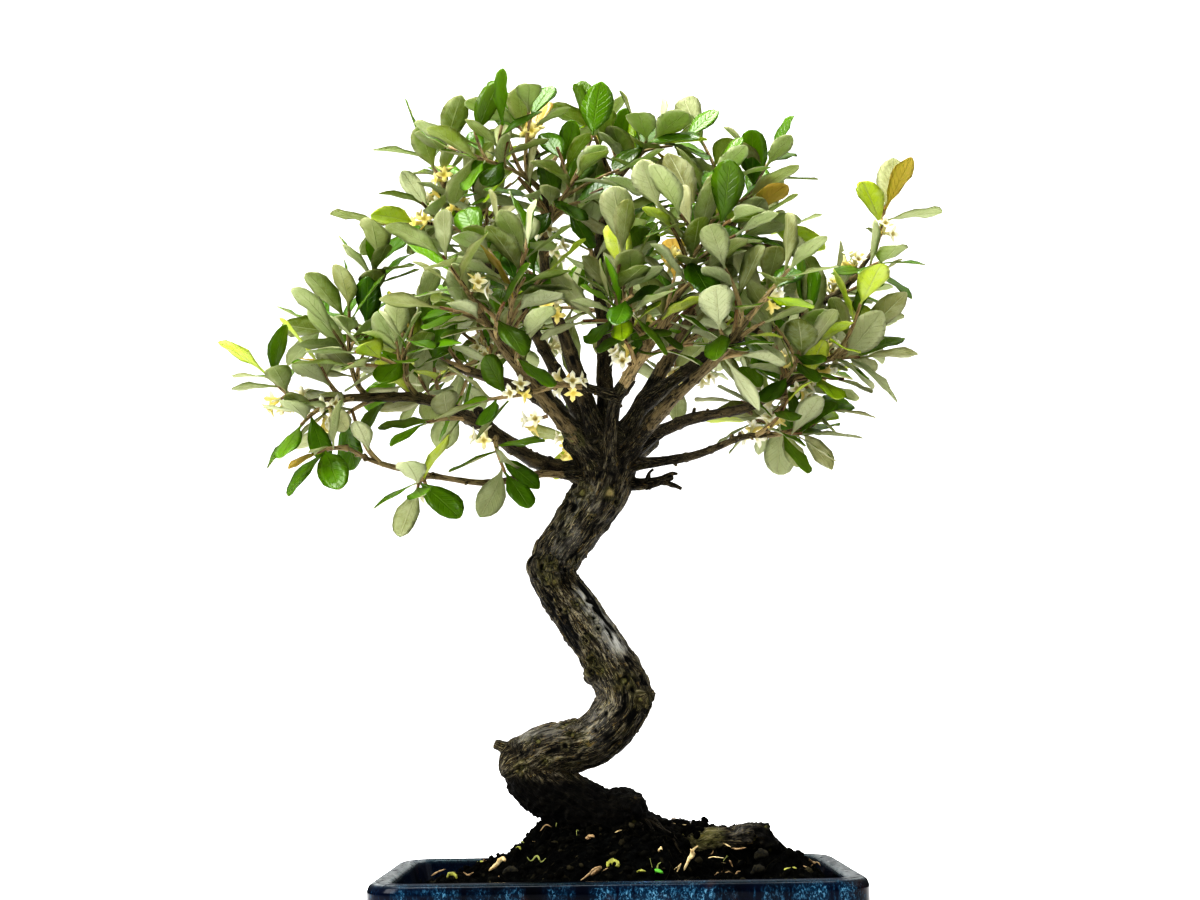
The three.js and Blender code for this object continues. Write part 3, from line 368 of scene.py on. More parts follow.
def rings_to_faces(rows: int, count: int, closed: bool = True) -> list[Array]:
    """Corner numbers of a skin over rings of points, with a fan at each end if it is closed.

    Args:
        rows: How many rings there are.
        count: How many points each ring has.
        closed: Whether two end points follow the rings, each the middle of a fan.

    Returns:
        Arrays of four and of three corners, facing out for rings that turn left about their way forward.
    """
    row, side = np.meshgrid(np.arange(rows - 1), np.arange(count), indexing="ij")
    here = (row * count + side).ravel()
    there = (row * count + (side + 1) % count).ravel()
    quads = np.stack([here, there, there + count, here + count], axis=1)
    if not closed:
        return [quads]
    first = np.arange(count)
    after = (first + 1) % count
    last = (rows - 1) * count
    low_end = np.stack([np.full(count, rows * count), after, first], axis=1)
    high_end = np.stack([np.full(count, rows * count + 1), last + first, last + after], axis=1)
    return [quads, low_end, high_end]


def steady_axes(tangents: Array) -> tuple[Array, Array]:
    """Two unit vectors square to each tangent, measured from the axis that the path follows least."""
    worst = np.abs(tangents).max(axis=0)
    helper = np.zeros(3)
    helper[int(np.argmin(worst))] = 1
    side = unit(np.cross(helper, tangents))
    return side, np.cross(tangents, side)


@dataclass
class Sweep:
    """Tube along a path: each ring point is the centre plus radius times the cosine and sine of its angle."""

    centres: Array
    radii: Array
    sides: int

    def __post_init__(self) -> None:
        """Works out the ring axes, the angles and the length so far at each ring."""
        self.tangents = unit(np.gradient(self.centres, axis=0))
        self.side, self.other = steady_axes(self.tangents)
        self.angles = np.arange(self.sides) * 2 * math.pi / self.sides
        steps = np.linalg.norm(np.diff(self.centres, axis=0), axis=1)
        self.lengths = np.concatenate([[0], np.cumsum(steps)])

    def outward(self) -> Array:
        """Unit vector from the centre to each ring point."""
        across = np.cos(self.angles)[None, :, None] * self.side[:, None]
        return across + np.sin(self.angles)[None, :, None] * self.other[:, None]

    def grain(self, girth: float) -> Array:
        """The straightened stem: ring points on a cylinder of one girth, with length along the third axis."""
        rows = len(self.centres)
        round_x = np.broadcast_to(np.cos(self.angles) * girth, (rows, self.sides))
        round_y = np.broadcast_to(np.sin(self.angles) * girth, (rows, self.sides))
        long = np.broadcast_to(self.lengths[:, None], (rows, self.sides))
        return np.stack([round_x, round_y, long], axis=-1)

    def skin(self, relief: float | Array = 0.0) -> tuple[Array, list[Array]]:
        """Closed skin.

        Args:
            relief: Height over the radius at each ring point, in millimetres.

        Returns:
            The points, with the two end points last, and the faces.
        """
        thick = np.broadcast_to(self.radii[:, None] + relief, (len(self.centres), self.sides))
        rings = self.centres[:, None] + thick[..., None] * self.outward()
        points = np.concatenate([rings.reshape(-1, 3), self.centres[:1], self.centres[-1:]])
        return points, rings_to_faces(len(self.centres), self.sides)

    def ended(self, values: Array) -> Array:
        """Vectors at the ring points, with those of the two end points put last."""
        flat = values.reshape(-1, values.shape[-1])
        ends = np.stack([values[0].mean(axis=0), values[-1].mean(axis=0)])
        return np.concatenate([flat, ends])


def sweep_route(route: Array, low: float, high: float, step: float, sides: int) -> Sweep:
    """Tube along a stretch of a route.

    Args:
        route: Rows of x, y, z and radius.
        low: Share of the route where the tube starts.
        high: Share where it ends.
        step: Distance between rings in millimetres.
        sides: Points to a ring.

    Returns:
        The tube.
    """
    rings = max(3, int(reach(route) * (high - low) / step) + 1)
    places = along(route, np.linspace(low, high, rings))
    return Sweep(places[:, :3], places[:, 3], sides)


# Growth of shoots, leaves and flowers


@dataclass(frozen=True)
class Leaf:
    """One leaf: where it starts, its own axes, and its sizes in millimetres."""

    base: Array
    axis: Array
    face: Array
    across: Array
    length: float
    half_width: float
    droop: float

    FOLD = 0.22
    OUTLINE = ((0.36, 0.62), (0.7, 1.0), (0.96, 0.52))
    STALK_HALF_WIDTH = 0.6
    TIP_SHARE = 0.3

    def width_at(self, share: Array) -> Array:
        """Half width of the model's blade at shares of its length."""
        rows = ((0, self.STALK_HALF_WIDTH / self.half_width), *self.OUTLINE, (1, self.TIP_SHARE))
        shares, widths = zip(*rows)
        return self.half_width * np.interp(share, shares, widths)

    def point(self, share: Array, aside: Array) -> Array:
        """Places on the blade: forward by the share, aside, and up by the fold less the droop."""
        height = self.FOLD * np.abs(aside) - self.droop * self.length * share * share
        spot = self.base + self.axis * (self.length * share)[:, None] + self.across * aside[:, None]
        return spot + self.face * height[:, None]


@dataclass(frozen=True)
class Habit:
    """How leaves stand on their shoot, in millimetres, radians and shares."""

    stations: tuple[float, ...] = (0.1, 0.3, 0.5, 0.7, 0.86, 1.0)
    turn: float = 2.4
    lean: float = 1.2
    lean_loss: float = 0.45
    end_lean: float = 0.2
    loose: float = 0.3
    looser: float = 0.07
    shrink: float = 0.014
    face_forward: float = 0.55
    face_up: float = 0.95
    face_stray: float = 0.7
    least: float = 24
    spread: float = 13
    narrow: float = 0.2
    broad: float = 0.3
    broad_loss: float = 0.45
    droop: float = 0.22
    tries: int = 26
    woody_share: float = 0.42


@dataclass(frozen=True)
class Cluster:
    """One spur of flowers: where it leaves the wood, its direction, and its draws."""

    root: Array
    aim: Array
    draws: Draws


@dataclass
class Growth:
    """The seeded rule by which shoots bend, leaves find room and flowers are set."""

    seed: int = 1010
    habit: Habit = Habit()
    root_radius: float = 1.5
    tip_radius: float = 0.75
    forward: float = 0.4
    bend: float = 0.45
    spans: int = 4
    spot_step: float = 3
    leaf_keep: float = 4.6
    own_leaf_keep: float = 3.4
    own_root_keep: float = 2.2
    own_stem_ease: float = 1.4
    wood_keep: float = 2.6
    flower_keep: float = 5.8
    flower_every: int = 3
    flower_share: float = 0.37
    flower_tries: int = 40
    flower_margin: float = 3.8
    spur_gap: float = 0.6
    spur_length: float = 4
    spur_forward: float = 0.4
    room_steps: tuple[float, ...] = (1, 1.7, 2.4, 3.1)
    sample_shares: tuple[float, ...] = (0.2, 0.34, 0.48, 0.62, 0.76, 0.88, 1)
    sample_aside: float = 0.9
    root_share: float = 0.3
    blade_share: float = 0.45
    near: float = 70
    most_spots: int = 60000

    WOOD = -1
    FLOWERS = -2

    def __post_init__(self) -> None:
        """Notes where the wood is and bends every shoot to its tip."""
        self.spots = np.zeros((self.most_spots, 3))
        self.keeps = np.zeros(self.most_spots)
        self.owners = np.zeros(self.most_spots, int)
        self.shares = np.zeros(self.most_spots)
        self.used = 0
        for route in (TRUNK_FOOT, TRUNK_TOP, *LIMBS.values(), *STUBS):
            self.note_route(route, 0, 1, self.WOOD)
        self.shoots = [self.shoot_route(LIMBS[limb], share, np.array(tip, float))
                       for limb, share, tip in SHOOTS]
        for index, route in enumerate(self.shoots):
            self.note_route(route, 0, self.habit.woody_share, self.WOOD)
            self.note_route(route, self.habit.woody_share, 1, index)

    def note(self, spots: Array, keeps: Array | float, owner: int, shares: Array | float) -> None:
        """Notes places that new growth stays clear of, with the distance to keep."""
        stop = self.used + len(spots)
        self.spots[self.used:stop] = spots
        self.keeps[self.used:stop] = keeps
        self.owners[self.used:stop] = owner
        self.shares[self.used:stop] = shares
        self.used = stop

    def note_route(self, route: Array, low: float, high: float, owner: int) -> None:
        """Notes a stretch of wood."""
        steps = math.ceil(reach(route) * (high - low) / self.spot_step)
        places = along(route, low + (high - low) * np.arange(steps + 1) / steps)
        self.note(places[:, :3], places[:, 3] + self.wood_keep, owner, 0)

    def shoot_route(self, host: Array, share: float, tip: Array) -> Array:
        """Route of a shoot that leaves its host forward and bends to its tip.

        Args:
            host: Route of what it grows from.
            share: Where on the host it starts.
            tip: Where it ends.

        Returns:
            Rows of x, y, z and radius on a quadratic curve.
        """
        start = along(host, share)
        far = np.linalg.norm(tip - start[:3])
        forward = heading(host, share) * self.forward + unit(tip - start[:3]) * (1 - self.forward)
        bend = start[:3] + forward * far * self.bend
        t = (np.arange(self.spans + 1) / self.spans)[:, None]
        places = start[:3] * (1 - t) ** 2 + bend * 2 * t * (1 - t) + tip * t * t
        thick = min(self.root_radius, start[3])
        return np.hstack([places, thick + (self.tip_radius - thick) * t])

    def is_clear(self, samples: Array, shares: Array, owner: int) -> bool:
        """Whether a new leaf keeps its distance from all that is noted.

        Args:
            samples: Places on the leaf.
            shares: How far along the leaf each place is.
            owner: Number of the shoot that it grows on.

        Returns:
            True if there is room.
        """
        close = ((self.spots[:self.used] - samples[0]) ** 2).sum(axis=1) < self.near ** 2
        spots, keeps = self.spots[:self.used][close], self.keeps[:self.used][close]
        owners, others = self.owners[:self.used][close], self.shares[:self.used][close]
        mine = shares[:, None]
        stem = np.where(mine > self.root_share, keeps - self.own_stem_ease, 0)
        rooted = (mine < self.root_share) & (others < self.root_share)
        blades = (mine > self.blade_share) & (others > self.blade_share)
        leafy = np.where(rooted, 0, np.where(blades, self.own_leaf_keep, self.own_root_keep))
        own = np.where(others == 0, stem, leafy)
        needed = np.where(owners == owner, own, keeps)
        apart = ((samples[:, None] - spots) ** 2).sum(axis=2)
        return bool((apart >= needed * needed).all())

    def leaf_at(self, route: Array, woody: float, station: float, index: int, start: float,
                draws: Callable[[], float], attempt: int) -> Leaf:
        """A leaf as it would stand at one station, looser with each attempt.

        Args:
            route: Route of the shoot.
            woody: Share of the shoot that bears no leaves.
            station: Place on the leafy part, from 0 to 1.
            index: Number of the station.
            start: Turn of the first leaf.
            draws: Row of random numbers.
            attempt: How often room was looked for before.

        Returns:
            The leaf.
        """
        habit = self.habit
        share = woody + (1 - woody) * station
        forward = heading(route, share)
        loose = habit.loose + attempt * habit.looser
        turn = start + index * habit.turn + (draws() - 0.5) * 2 * loose
        lean = habit.lean - habit.lean_loss * station if station < 1 else habit.end_lean
        spread = lean + (draws() - 0.5) * loose
        axis = unit(forward * math.cos(spread) + around(forward, turn) * math.sin(spread))
        face = forward * habit.face_forward
        face[0] += (draws() - 0.5) * habit.face_stray
        face[1] += (draws() - 0.5) * habit.face_stray
        face[2] += habit.face_up
        face = unit(face - axis * (face @ axis))
        broad = draws()
        grown = habit.spread * draws() * (1 - habit.broad_loss * broad)
        length = (habit.least + grown) * (1 - habit.shrink * attempt)
        half_width = length * (habit.narrow + (habit.broad - habit.narrow) * broad)
        droop = (draws() - 0.25) * habit.droop
        base = along(route, share)[:3]
        return Leaf(base, axis, face, np.cross(face, axis), length, half_width, droop)

    def grow_leaves(self, route: Array, owner: int, draws: Callable[[], float], woody: float,
                    stations: Sequence[float], tries: int) -> list[Leaf]:
        """Leaves of one shoot, at each station where there is room.

        Args:
            route: Route of the shoot.
            owner: Number of the shoot.
            draws: Row of random numbers.
            woody: Share of the shoot that bears no leaves.
            stations: Places of the leaves on the leafy part.
            tries: How often room is looked for at a station.

        Returns:
            The leaves.
        """
        start = draws() * 2 * math.pi
        shares = np.repeat(self.sample_shares, 3)
        leaves = []
        for index, station in enumerate(stations):
            for attempt in range(tries):
                leaf = self.leaf_at(route, woody, station, index, start, draws, attempt)
                aside = np.tile([-1.0, 0.0, 1.0], len(self.sample_shares)) * self.sample_aside
                samples = leaf.point(shares, aside * leaf.width_at(shares))
                if self.is_clear(samples, shares, owner):
                    leaves.append(leaf)
                    self.note(samples, self.leaf_keep, owner, shares)
                    break
        return leaves

    def spur_on(self, route: Array, share: float, draws: Draws) -> Cluster | None:
        """Looks round a branchlet for room for a spur of flowers."""
        spot = along(route, share)
        forward = heading(route, share)
        spots, keeps = self.spots[:self.used], self.keeps[:self.used]
        margins = np.array([-1.0] + [self.flower_margin] * (len(self.room_steps) - 1))
        for _ in range(self.flower_tries):
            aim = around(forward, draws() * 2 * math.pi)
            root = spot[:3] + aim * (spot[3] + self.spur_gap)
            aim = unit(aim + forward * self.spur_forward)
            samples = root + aim * self.spur_length * np.array(self.room_steps)[:, None]
            apart = ((samples[:, None] - spots) ** 2).sum(axis=2)
            if (apart >= (keeps + margins[:, None]) ** 2).all():
                self.note(samples, self.flower_keep, self.FLOWERS, 1)
                return Cluster(root, aim, draws)
        return None

    def clusters(self) -> list[Cluster]:
        """Flower spurs on every few branchlets."""
        found = []
        for index, route in enumerate(self.shoots):
            if index % self.flower_every == 1:
                spur = self.spur_on(route, self.flower_share, Draws(self.seed + 31 * index))
                if spur:
                    found.append(spur)
        return found

    def sprays(self) -> list[list[Leaf]]:
        """Leaves of every shoot, in the order of the shoots."""
        habit = self.habit
        return [
            self.grow_leaves(route, index, Draws(self.seed + 977 * index), habit.woody_share,
                             habit.stations, habit.tries)
            for index, route in enumerate(self.shoots)
        ]


# Finishes


Socket = bpy.types.NodeSocket
Value = Socket | float | Sequence[float]
Stop = tuple[float, Triple]


class Shade:
    """Node tree of one material or of the world, built a step at a time."""

    def __init__(self, name: str, world: bool = False) -> None:
        """Starts a material, or the world, with an output and nothing else."""
        self.holder = (bpy.data.worlds if world else bpy.data.materials).new(name)
        self.holder.use_nodes = True
        self.nodes = self.holder.node_tree.nodes
        self.links = self.holder.node_tree.links
        self.nodes.clear()
        self.output = self.nodes.new("ShaderNodeOutput" + ("World" if world else "Material"))

    def node(self, kind: str, plugs: dict[str | int, Value], **settings: object) -> bpy.types.Node:
        """Adds a node.

        Args:
            kind: Blender's name of the node, without its first words.
            plugs: A socket or a value for each input.
            settings: The node's own options.

        Returns:
            The node.
        """
        made = self.nodes.new("ShaderNode" + kind)
        for option, choice in settings.items():
            setattr(made, option, choice)
        for key, value in plugs.items():
            if isinstance(value, bpy.types.NodeSocket):
                self.links.new(value, made.inputs[key])
            else:
                made.inputs[key].default_value = value
        return made

    def place(self) -> Socket:
        """Object coordinates, in metres."""
        return self.node("TexCoord", {}).outputs["Object"]

    def mark(self, name: str) -> Socket:
        """A vector carried by the mesh."""
        return self.node("Attribute", {}, attribute_name=name).outputs["Vector"]

    def parts(self, vector: Socket) -> tuple[Socket, Socket, Socket]:
        """The three numbers of a vector."""
        return tuple(self.node("SeparateXYZ", {"Vector": vector}).outputs)

    def stretched(self, vector: Socket, scale: Sequence[float]) -> Socket:
        """A vector with each axis scaled."""
        return self.node("Mapping", {"Vector": vector, "Scale": scale}).outputs["Vector"]

    def noise(self, vector: Socket, scale: float | Triple, detail: float = 3, roughness: float = 0.55,
              distortion: float = 0) -> Socket:
        """Cloudy heights from 0 to 1; a scale of three numbers stretches them."""
        if isinstance(scale, tuple):
            vector, scale = self.stretched(vector, scale), 1.0
        plugs = {"Vector": vector, "Scale": scale, "Detail": detail, "Roughness": roughness,
                 "Distortion": distortion}
        return self.node("TexNoise", plugs).outputs["Fac"]

    def cells(self, vector: Socket, scale: float) -> Socket:
        """Distance to scattered points."""
        return self.node("TexVoronoi", {"Vector": vector, "Scale": scale}).outputs["Distance"]

    def ramp(self, factor: Socket, *stops: Stop) -> Socket:
        """A colour picked by a factor from stops of place and colour."""
        made = self.node("ValToRGB", {"Fac": factor})
        entries = made.color_ramp.elements
        while len(entries) < len(stops):
            entries.new(0.5)
        for entry, (place, colour) in zip(entries, stops):
            entry.position = place
            entry.color = (*colour, 1)
        return made.outputs["Color"]

    def level(self, factor: Socket, low: float, high: float, most: float = 1, least: Value = 0) -> Socket:
        """The least below low, the most above high, straight between; low may be the greater one."""
        plugs = {"Value": factor, "From Min": low, "From Max": high, "To Min": least, "To Max": most}
        return self.node("MapRange", plugs, clamp=True).outputs["Result"]

    def mix(self, factor: Value, first: Value, second: Value) -> Socket:
        """A colour between two."""
        first, second = (value if isinstance(value, bpy.types.NodeSocket) else (*value, 1)
                         for value in (first, second))
        return self.node("Mix", {0: factor, 6: first, 7: second}, data_type="RGBA").outputs[2]

    def math(self, operation: str, first: Value, second: Value = 0.0) -> Socket:
        """A sum on numbers."""
        return self.node("Math", {0: first, 1: second}, operation=operation).outputs[0]

    def times(self, first: Value, second: Value) -> Socket:
        """The product of two numbers."""
        return self.math("MULTIPLY", first, second)

    def bump(self, height: Socket, distance: float, strength: float = 1.0) -> Socket:
        """A normal tilted by a height; distance is in metres."""
        plugs = {"Height": height, "Distance": distance, "Strength": strength}
        return self.node("Bump", plugs).outputs["Normal"]

    def surface(self, plugs: dict[str | int, Value], glow: tuple[float, Value] | None = None
                ) -> bpy.types.Material:
        """Ends the material in a principled surface.

        Args:
            plugs: The surface's inputs.
            glow: A share and a colour of light that passes through a thin blade, if any does.

        Returns:
            The material.
        """
        shader = self.node("BsdfPrincipled", plugs).outputs["BSDF"]
        if glow:
            share, colour = glow
            thin = self.node("BsdfTranslucent", {"Color": colour, "Normal": plugs["Normal"]}).outputs["BSDF"]
            shader = self.node("MixShader", {0: share, 1: shader, 2: thin}).outputs["Shader"]
        self.links.new(shader, self.output.inputs["Surface"])
        return self.holder


@dataclass(frozen=True)
class BarkFinish:
    """Old bark: dark, with streaks, straw-coloured threads, ochre chips, black pits and a painted silvery
    sheen.
    """

    black: Triple = (0.0020, 0.0018, 0.0013)
    umber: Triple = (0.025, 0.019, 0.011)
    brown: Triple = (0.086, 0.071, 0.046)
    grey: Triple = (0.250, 0.225, 0.168)
    straw: Triple = (0.58, 0.50, 0.28)
    ochre: Triple = (0.27, 0.185, 0.055)
    moss: Triple = (0.085, 0.082, 0.020)
    # silver: colour of the painted sheen, a highlight laid where the bark is lit
    silver: Triple = (0.70, 0.70, 0.66)
    cut: Triple = (0.42, 0.34, 0.16)
    eye: Triple = (0.25, 0.24, 0.085)
    roughness: float = 0.55
    specular: float = 0.12

    def material(self) -> bpy.types.Material:
        """Builds it from grain (mm), bark (height, dark, cut) and sheen_and_eye (painted sheen, calm, eye).
        """
        shade = Shade("bark")
        grain = shade.mark("grain")
        height, dark, cut = shade.parts(shade.mark("bark"))
        # silver: strength of the painted sheen; calm, half of it, smooths the bump there
        silver, calm, eye = shade.parts(shade.mark("sheen_and_eye"))
        streaks = shade.noise(grain, (0.52, 0.52, 0.11), 6, 0.68, 0.9)
        chips = shade.noise(grain, (0.80, 0.80, 0.30), 4, 0.60, 1.2)
        threads = shade.noise(grain, (2.2, 2.2, 0.20), 3, 0.6, 0.8)
        patches = shade.noise(grain, (0.11, 0.11, 0.05), 3, 0.6, 0.8)
        tone = shade.ramp(streaks, (0.40, self.black), (0.46, self.umber), (0.52, self.brown),
                          (0.60, self.grey), (0.70, self.straw))
        tone = shade.mix(shade.level(patches, 0.48, 0.56, 0.55), tone, self.umber)
        tone = shade.mix(shade.level(patches, 0.46, 0.36, 0.45), tone, self.moss)
        tone = shade.mix(shade.level(threads, 0.57, 0.64, 0.75), tone, self.straw)
        tone = shade.mix(shade.level(chips, 0.60, 0.65, 0.8), tone, self.ochre)
        tone = shade.mix(shade.level(chips, 0.45, 0.40, 0.95), tone, self.black)
        # Painted sheen: silver laid on the lighter streaks
        painted_sheen = shade.times(silver, shade.level(streaks, 0.36, 0.58))
        tone = shade.mix(painted_sheen, tone, self.silver)
        tone = shade.mix(shade.level(height, -0.10, -0.60), tone, self.black)
        # dark: pits, rings and burls, darker towards the crown, and painted shade at the foot and on faces
        # turned down
        tone = shade.mix(shade.times(dark, 0.96), tone, self.black)
        tone = shade.mix(cut, tone, self.cut)
        tone = shade.mix(shade.times(eye, shade.level(chips, 0.34, 0.54)), tone, self.eye)
        rough = shade.math("ADD", shade.times(streaks, 0.5), shade.times(chips, 0.7))
        rough = shade.times(rough, shade.math("SUBTRACT", 1.0, calm))
        plugs = {"Base Color": tone, "Roughness": self.roughness, "Normal": shade.bump(rough, 0.0030, 1.0),
                 "Specular IOR Level": self.specular}
        return shade.surface(plugs)


@dataclass(frozen=True)
class TwigFinish:
    """Young bark: near black on old wood, olive brown and tan on twigs, red-brown at tips, with scales."""

    crack: Triple = (0.003, 0.0024, 0.0016)
    black: Triple = (0.014, 0.011, 0.006)
    old: Triple = (0.062, 0.050, 0.027)
    olive: Triple = (0.125, 0.102, 0.044)
    tan: Triple = (0.42, 0.32, 0.16)
    red: Triple = (0.17, 0.065, 0.022)
    scale: Triple = (0.46, 0.40, 0.24)
    roughness: float = 0.5
    specular: float = 0.14

    def material(self) -> bpy.types.Material:
        """Builds the material; it reads the marks grain (millimetres) and bark (height, age, tone)."""
        shade = Shade("twig_bark")
        grain = shade.mark("grain")
        height, age, tone = shade.parts(shade.mark("bark"))
        streaks = shade.noise(grain, (1.1, 1.1, 0.20), 5, 0.66, 0.6)
        patches = shade.noise(grain, (0.30, 0.30, 0.10), 3, 0.6, 0.5)
        young = shade.ramp(age, (0.0, self.black), (0.22, self.old), (0.48, self.olive), (0.78, self.tan),
                           (1.0, self.red))
        colour = shade.mix(shade.level(streaks, 0.52, 0.40), young, self.crack)
        lit = shade.times(shade.level(patches, 0.5, 0.7), shade.math("ADD", age, 0.12))
        colour = shade.mix(lit, colour, self.tan)
        colour = shade.mix(shade.times(tone, shade.level(streaks, 0.36, 0.56)), colour, self.tan)
        dots = shade.cells(shade.stretched(grain, (2.0, 2.0, 1.0)), 1.0)
        colour = shade.mix(shade.level(dots, 0.22, 0.12, 0.45), colour, self.scale)
        colour = shade.mix(shade.level(height, -0.12, -0.4), colour, self.crack)
        plugs = {"Base Color": colour, "Roughness": self.roughness, "Specular IOR Level": self.specular,
                 "Normal": shade.bump(streaks, 0.0012, 0.9)}
        return shade.surface(plugs)


class Side(Enum):
    """The two faces of a leaf."""

    UPPER = "leaf_upper"
    UNDER = "leaf_under"


@dataclass(frozen=True)
class LeafFinish:
    """One face of the leaves: glossy green above; silvery, with pin-prick brown scales, below."""

    side: Side
    deep: Triple
    light: Triple
    fresh: Triple
    rib: Triple
    scale: Triple
    scale_share: float
    roughness: float
    specular: float
    glow: Triple
    glow_share: float
    dull: Triple
    old: Triple = (0.50, 0.33, 0.07)
    stain: Triple = (0.03, 0.02, 0.01)

    def material(self) -> bpy.types.Material:
        """Builds the material; it reads the marks blade (along, across, random) and tone (three randoms)."""
        shade = Shade(self.side.value)
        place = shade.place()
        share, aside, _ = shade.parts(shade.mark("blade"))
        hue, freshness, spots = shade.parts(shade.mark("tone"))
        apart = shade.math("ABSOLUTE", aside)
        clouds = shade.noise(place, 130, 3, 0.6)
        colour = shade.mix(shade.math("POWER", hue, 1.25), self.deep, self.light)
        colour = shade.mix(shade.level(freshness, 0.42, 0.12, 0.75), colour, self.dull)
        colour = shade.mix(shade.level(freshness, 0.80, 0.97), colour, self.fresh)
        colour = shade.mix(shade.level(clouds, 0.42, 0.66, 0.35), colour, self.light)
        slant = shade.math("SUBTRACT", shade.times(share, 9.0), shade.times(apart, 2.4))
        wave = shade.math("ABSOLUTE", shade.math("SUBTRACT", shade.math("FRACT", slant), 0.5))
        veins = shade.level(wave, 0.09, 0.0)
        rib = shade.level(apart, 0.060, 0.02)
        lines = shade.math("MAXIMUM", rib, shade.times(veins, 0.34))
        colour = shade.mix(shade.times(lines, 0.6), colour, self.rib)
        scales = shade.cells(place, 1900)
        dots = shade.level(scales, 0.36, 0.16)
        rare = shade.level(shade.noise(place, 420, 2), 0.5, 0.62)
        dots = shade.times(shade.times(dots, rare), self.scale_share)
        colour = shade.mix(dots, colour, self.scale)
        blotch = shade.level(shade.noise(place, 230, 3, 0.7), 0.66, 0.72)
        blotch = shade.times(blotch, shade.level(spots, 0.72, 0.9))
        colour = shade.mix(shade.times(blotch, 0.8), colour, self.stain)
        old = shade.level(spots, 0.988, 0.992)
        colour = shade.mix(old, colour, self.old)
        relief = shade.math("SUBTRACT", shade.times(lines, 0.8 if self.side is Side.UNDER else -0.8),
                            shade.times(clouds, 0.6))
        normal = shade.bump(relief, 0.0009, 0.8)
        plugs = {"Base Color": colour, "Roughness": self.roughness, "Specular IOR Level": self.specular,
                 "Normal": normal}
        glow = shade.mix(shade.level(freshness, 0.80, 0.97), self.glow, self.fresh)
        return shade.surface(plugs, (self.glow_share, glow))


UPPER_LEAF = LeafFinish(
    side=Side.UPPER, deep=(0.021, 0.080, 0.001), light=(0.130, 0.275, 0.004), fresh=(0.42, 0.58, 0.012),
    rib=(0.19, 0.32, 0.04), scale=(0.36, 0.38, 0.24), scale_share=0.14, roughness=0.22, specular=0.42,
    glow=(0.33, 0.52, 0.003), glow_share=0.34, dull=(0.066, 0.105, 0.010),
)
UNDER_LEAF = LeafFinish(
    side=Side.UNDER, deep=(0.105, 0.112, 0.024), light=(0.68, 0.71, 0.45), fresh=(0.60, 0.68, 0.07),
    rib=(0.66, 0.67, 0.39), scale=(0.12, 0.075, 0.02), scale_share=0.9, roughness=0.6, specular=0.14,
    glow=(0.50, 0.54, 0.035), glow_share=0.30, dull=(0.31, 0.285, 0.130),
)


@dataclass(frozen=True)
class PetalFinish:
    """Flowers: cream yellow inside, paler and scaly outside, greenish silver on the tube."""

    cream: Triple = (0.93, 0.89, 0.62)
    pale: Triple = (0.95, 0.94, 0.84)
    tube: Triple = (0.60, 0.57, 0.30)
    heart: Triple = (0.30, 0.22, 0.03)
    gold: Triple = (0.94, 0.76, 0.12)
    dry: Triple = (0.55, 0.36, 0.10)
    roughness: float = 0.55
    glow: Triple = (0.96, 0.92, 0.62)
    glow_share: float = 0.3

    def material(self) -> bpy.types.Material:
        """Builds the material; it reads the mark petal (out along the flower, inside, random)."""
        shade = Shade("petal")
        out, inside, chance = shade.parts(shade.mark("petal"))
        outer = shade.ramp(out, (0.0, self.tube), (0.55, self.tube), (0.8, self.pale))
        inner = shade.ramp(out, (0.45, self.heart), (0.66, self.cream), (0.95, self.pale))
        colour = shade.mix(inside, outer, inner)
        dots = shade.level(shade.cells(shade.place(), 2300), 0.3, 0.14)
        outside_dots = shade.times(dots, shade.level(inside, 0.5, 0.3))
        colour = shade.mix(shade.times(outside_dots, 0.5), colour, self.dry)
        colour = shade.mix(shade.level(chance, 0.62, 0.72, 0.7), colour, self.gold)
        colour = shade.mix(shade.level(chance, 0.95, 1.0), colour, self.dry)
        cloud = shade.noise(shade.place(), 900, 2)
        plugs = {"Base Color": colour, "Roughness": self.roughness,
                 "Normal": shade.bump(cloud, 0.0003, 0.6)}
        return shade.surface(plugs, (self.glow_share, (*self.glow, 1)))


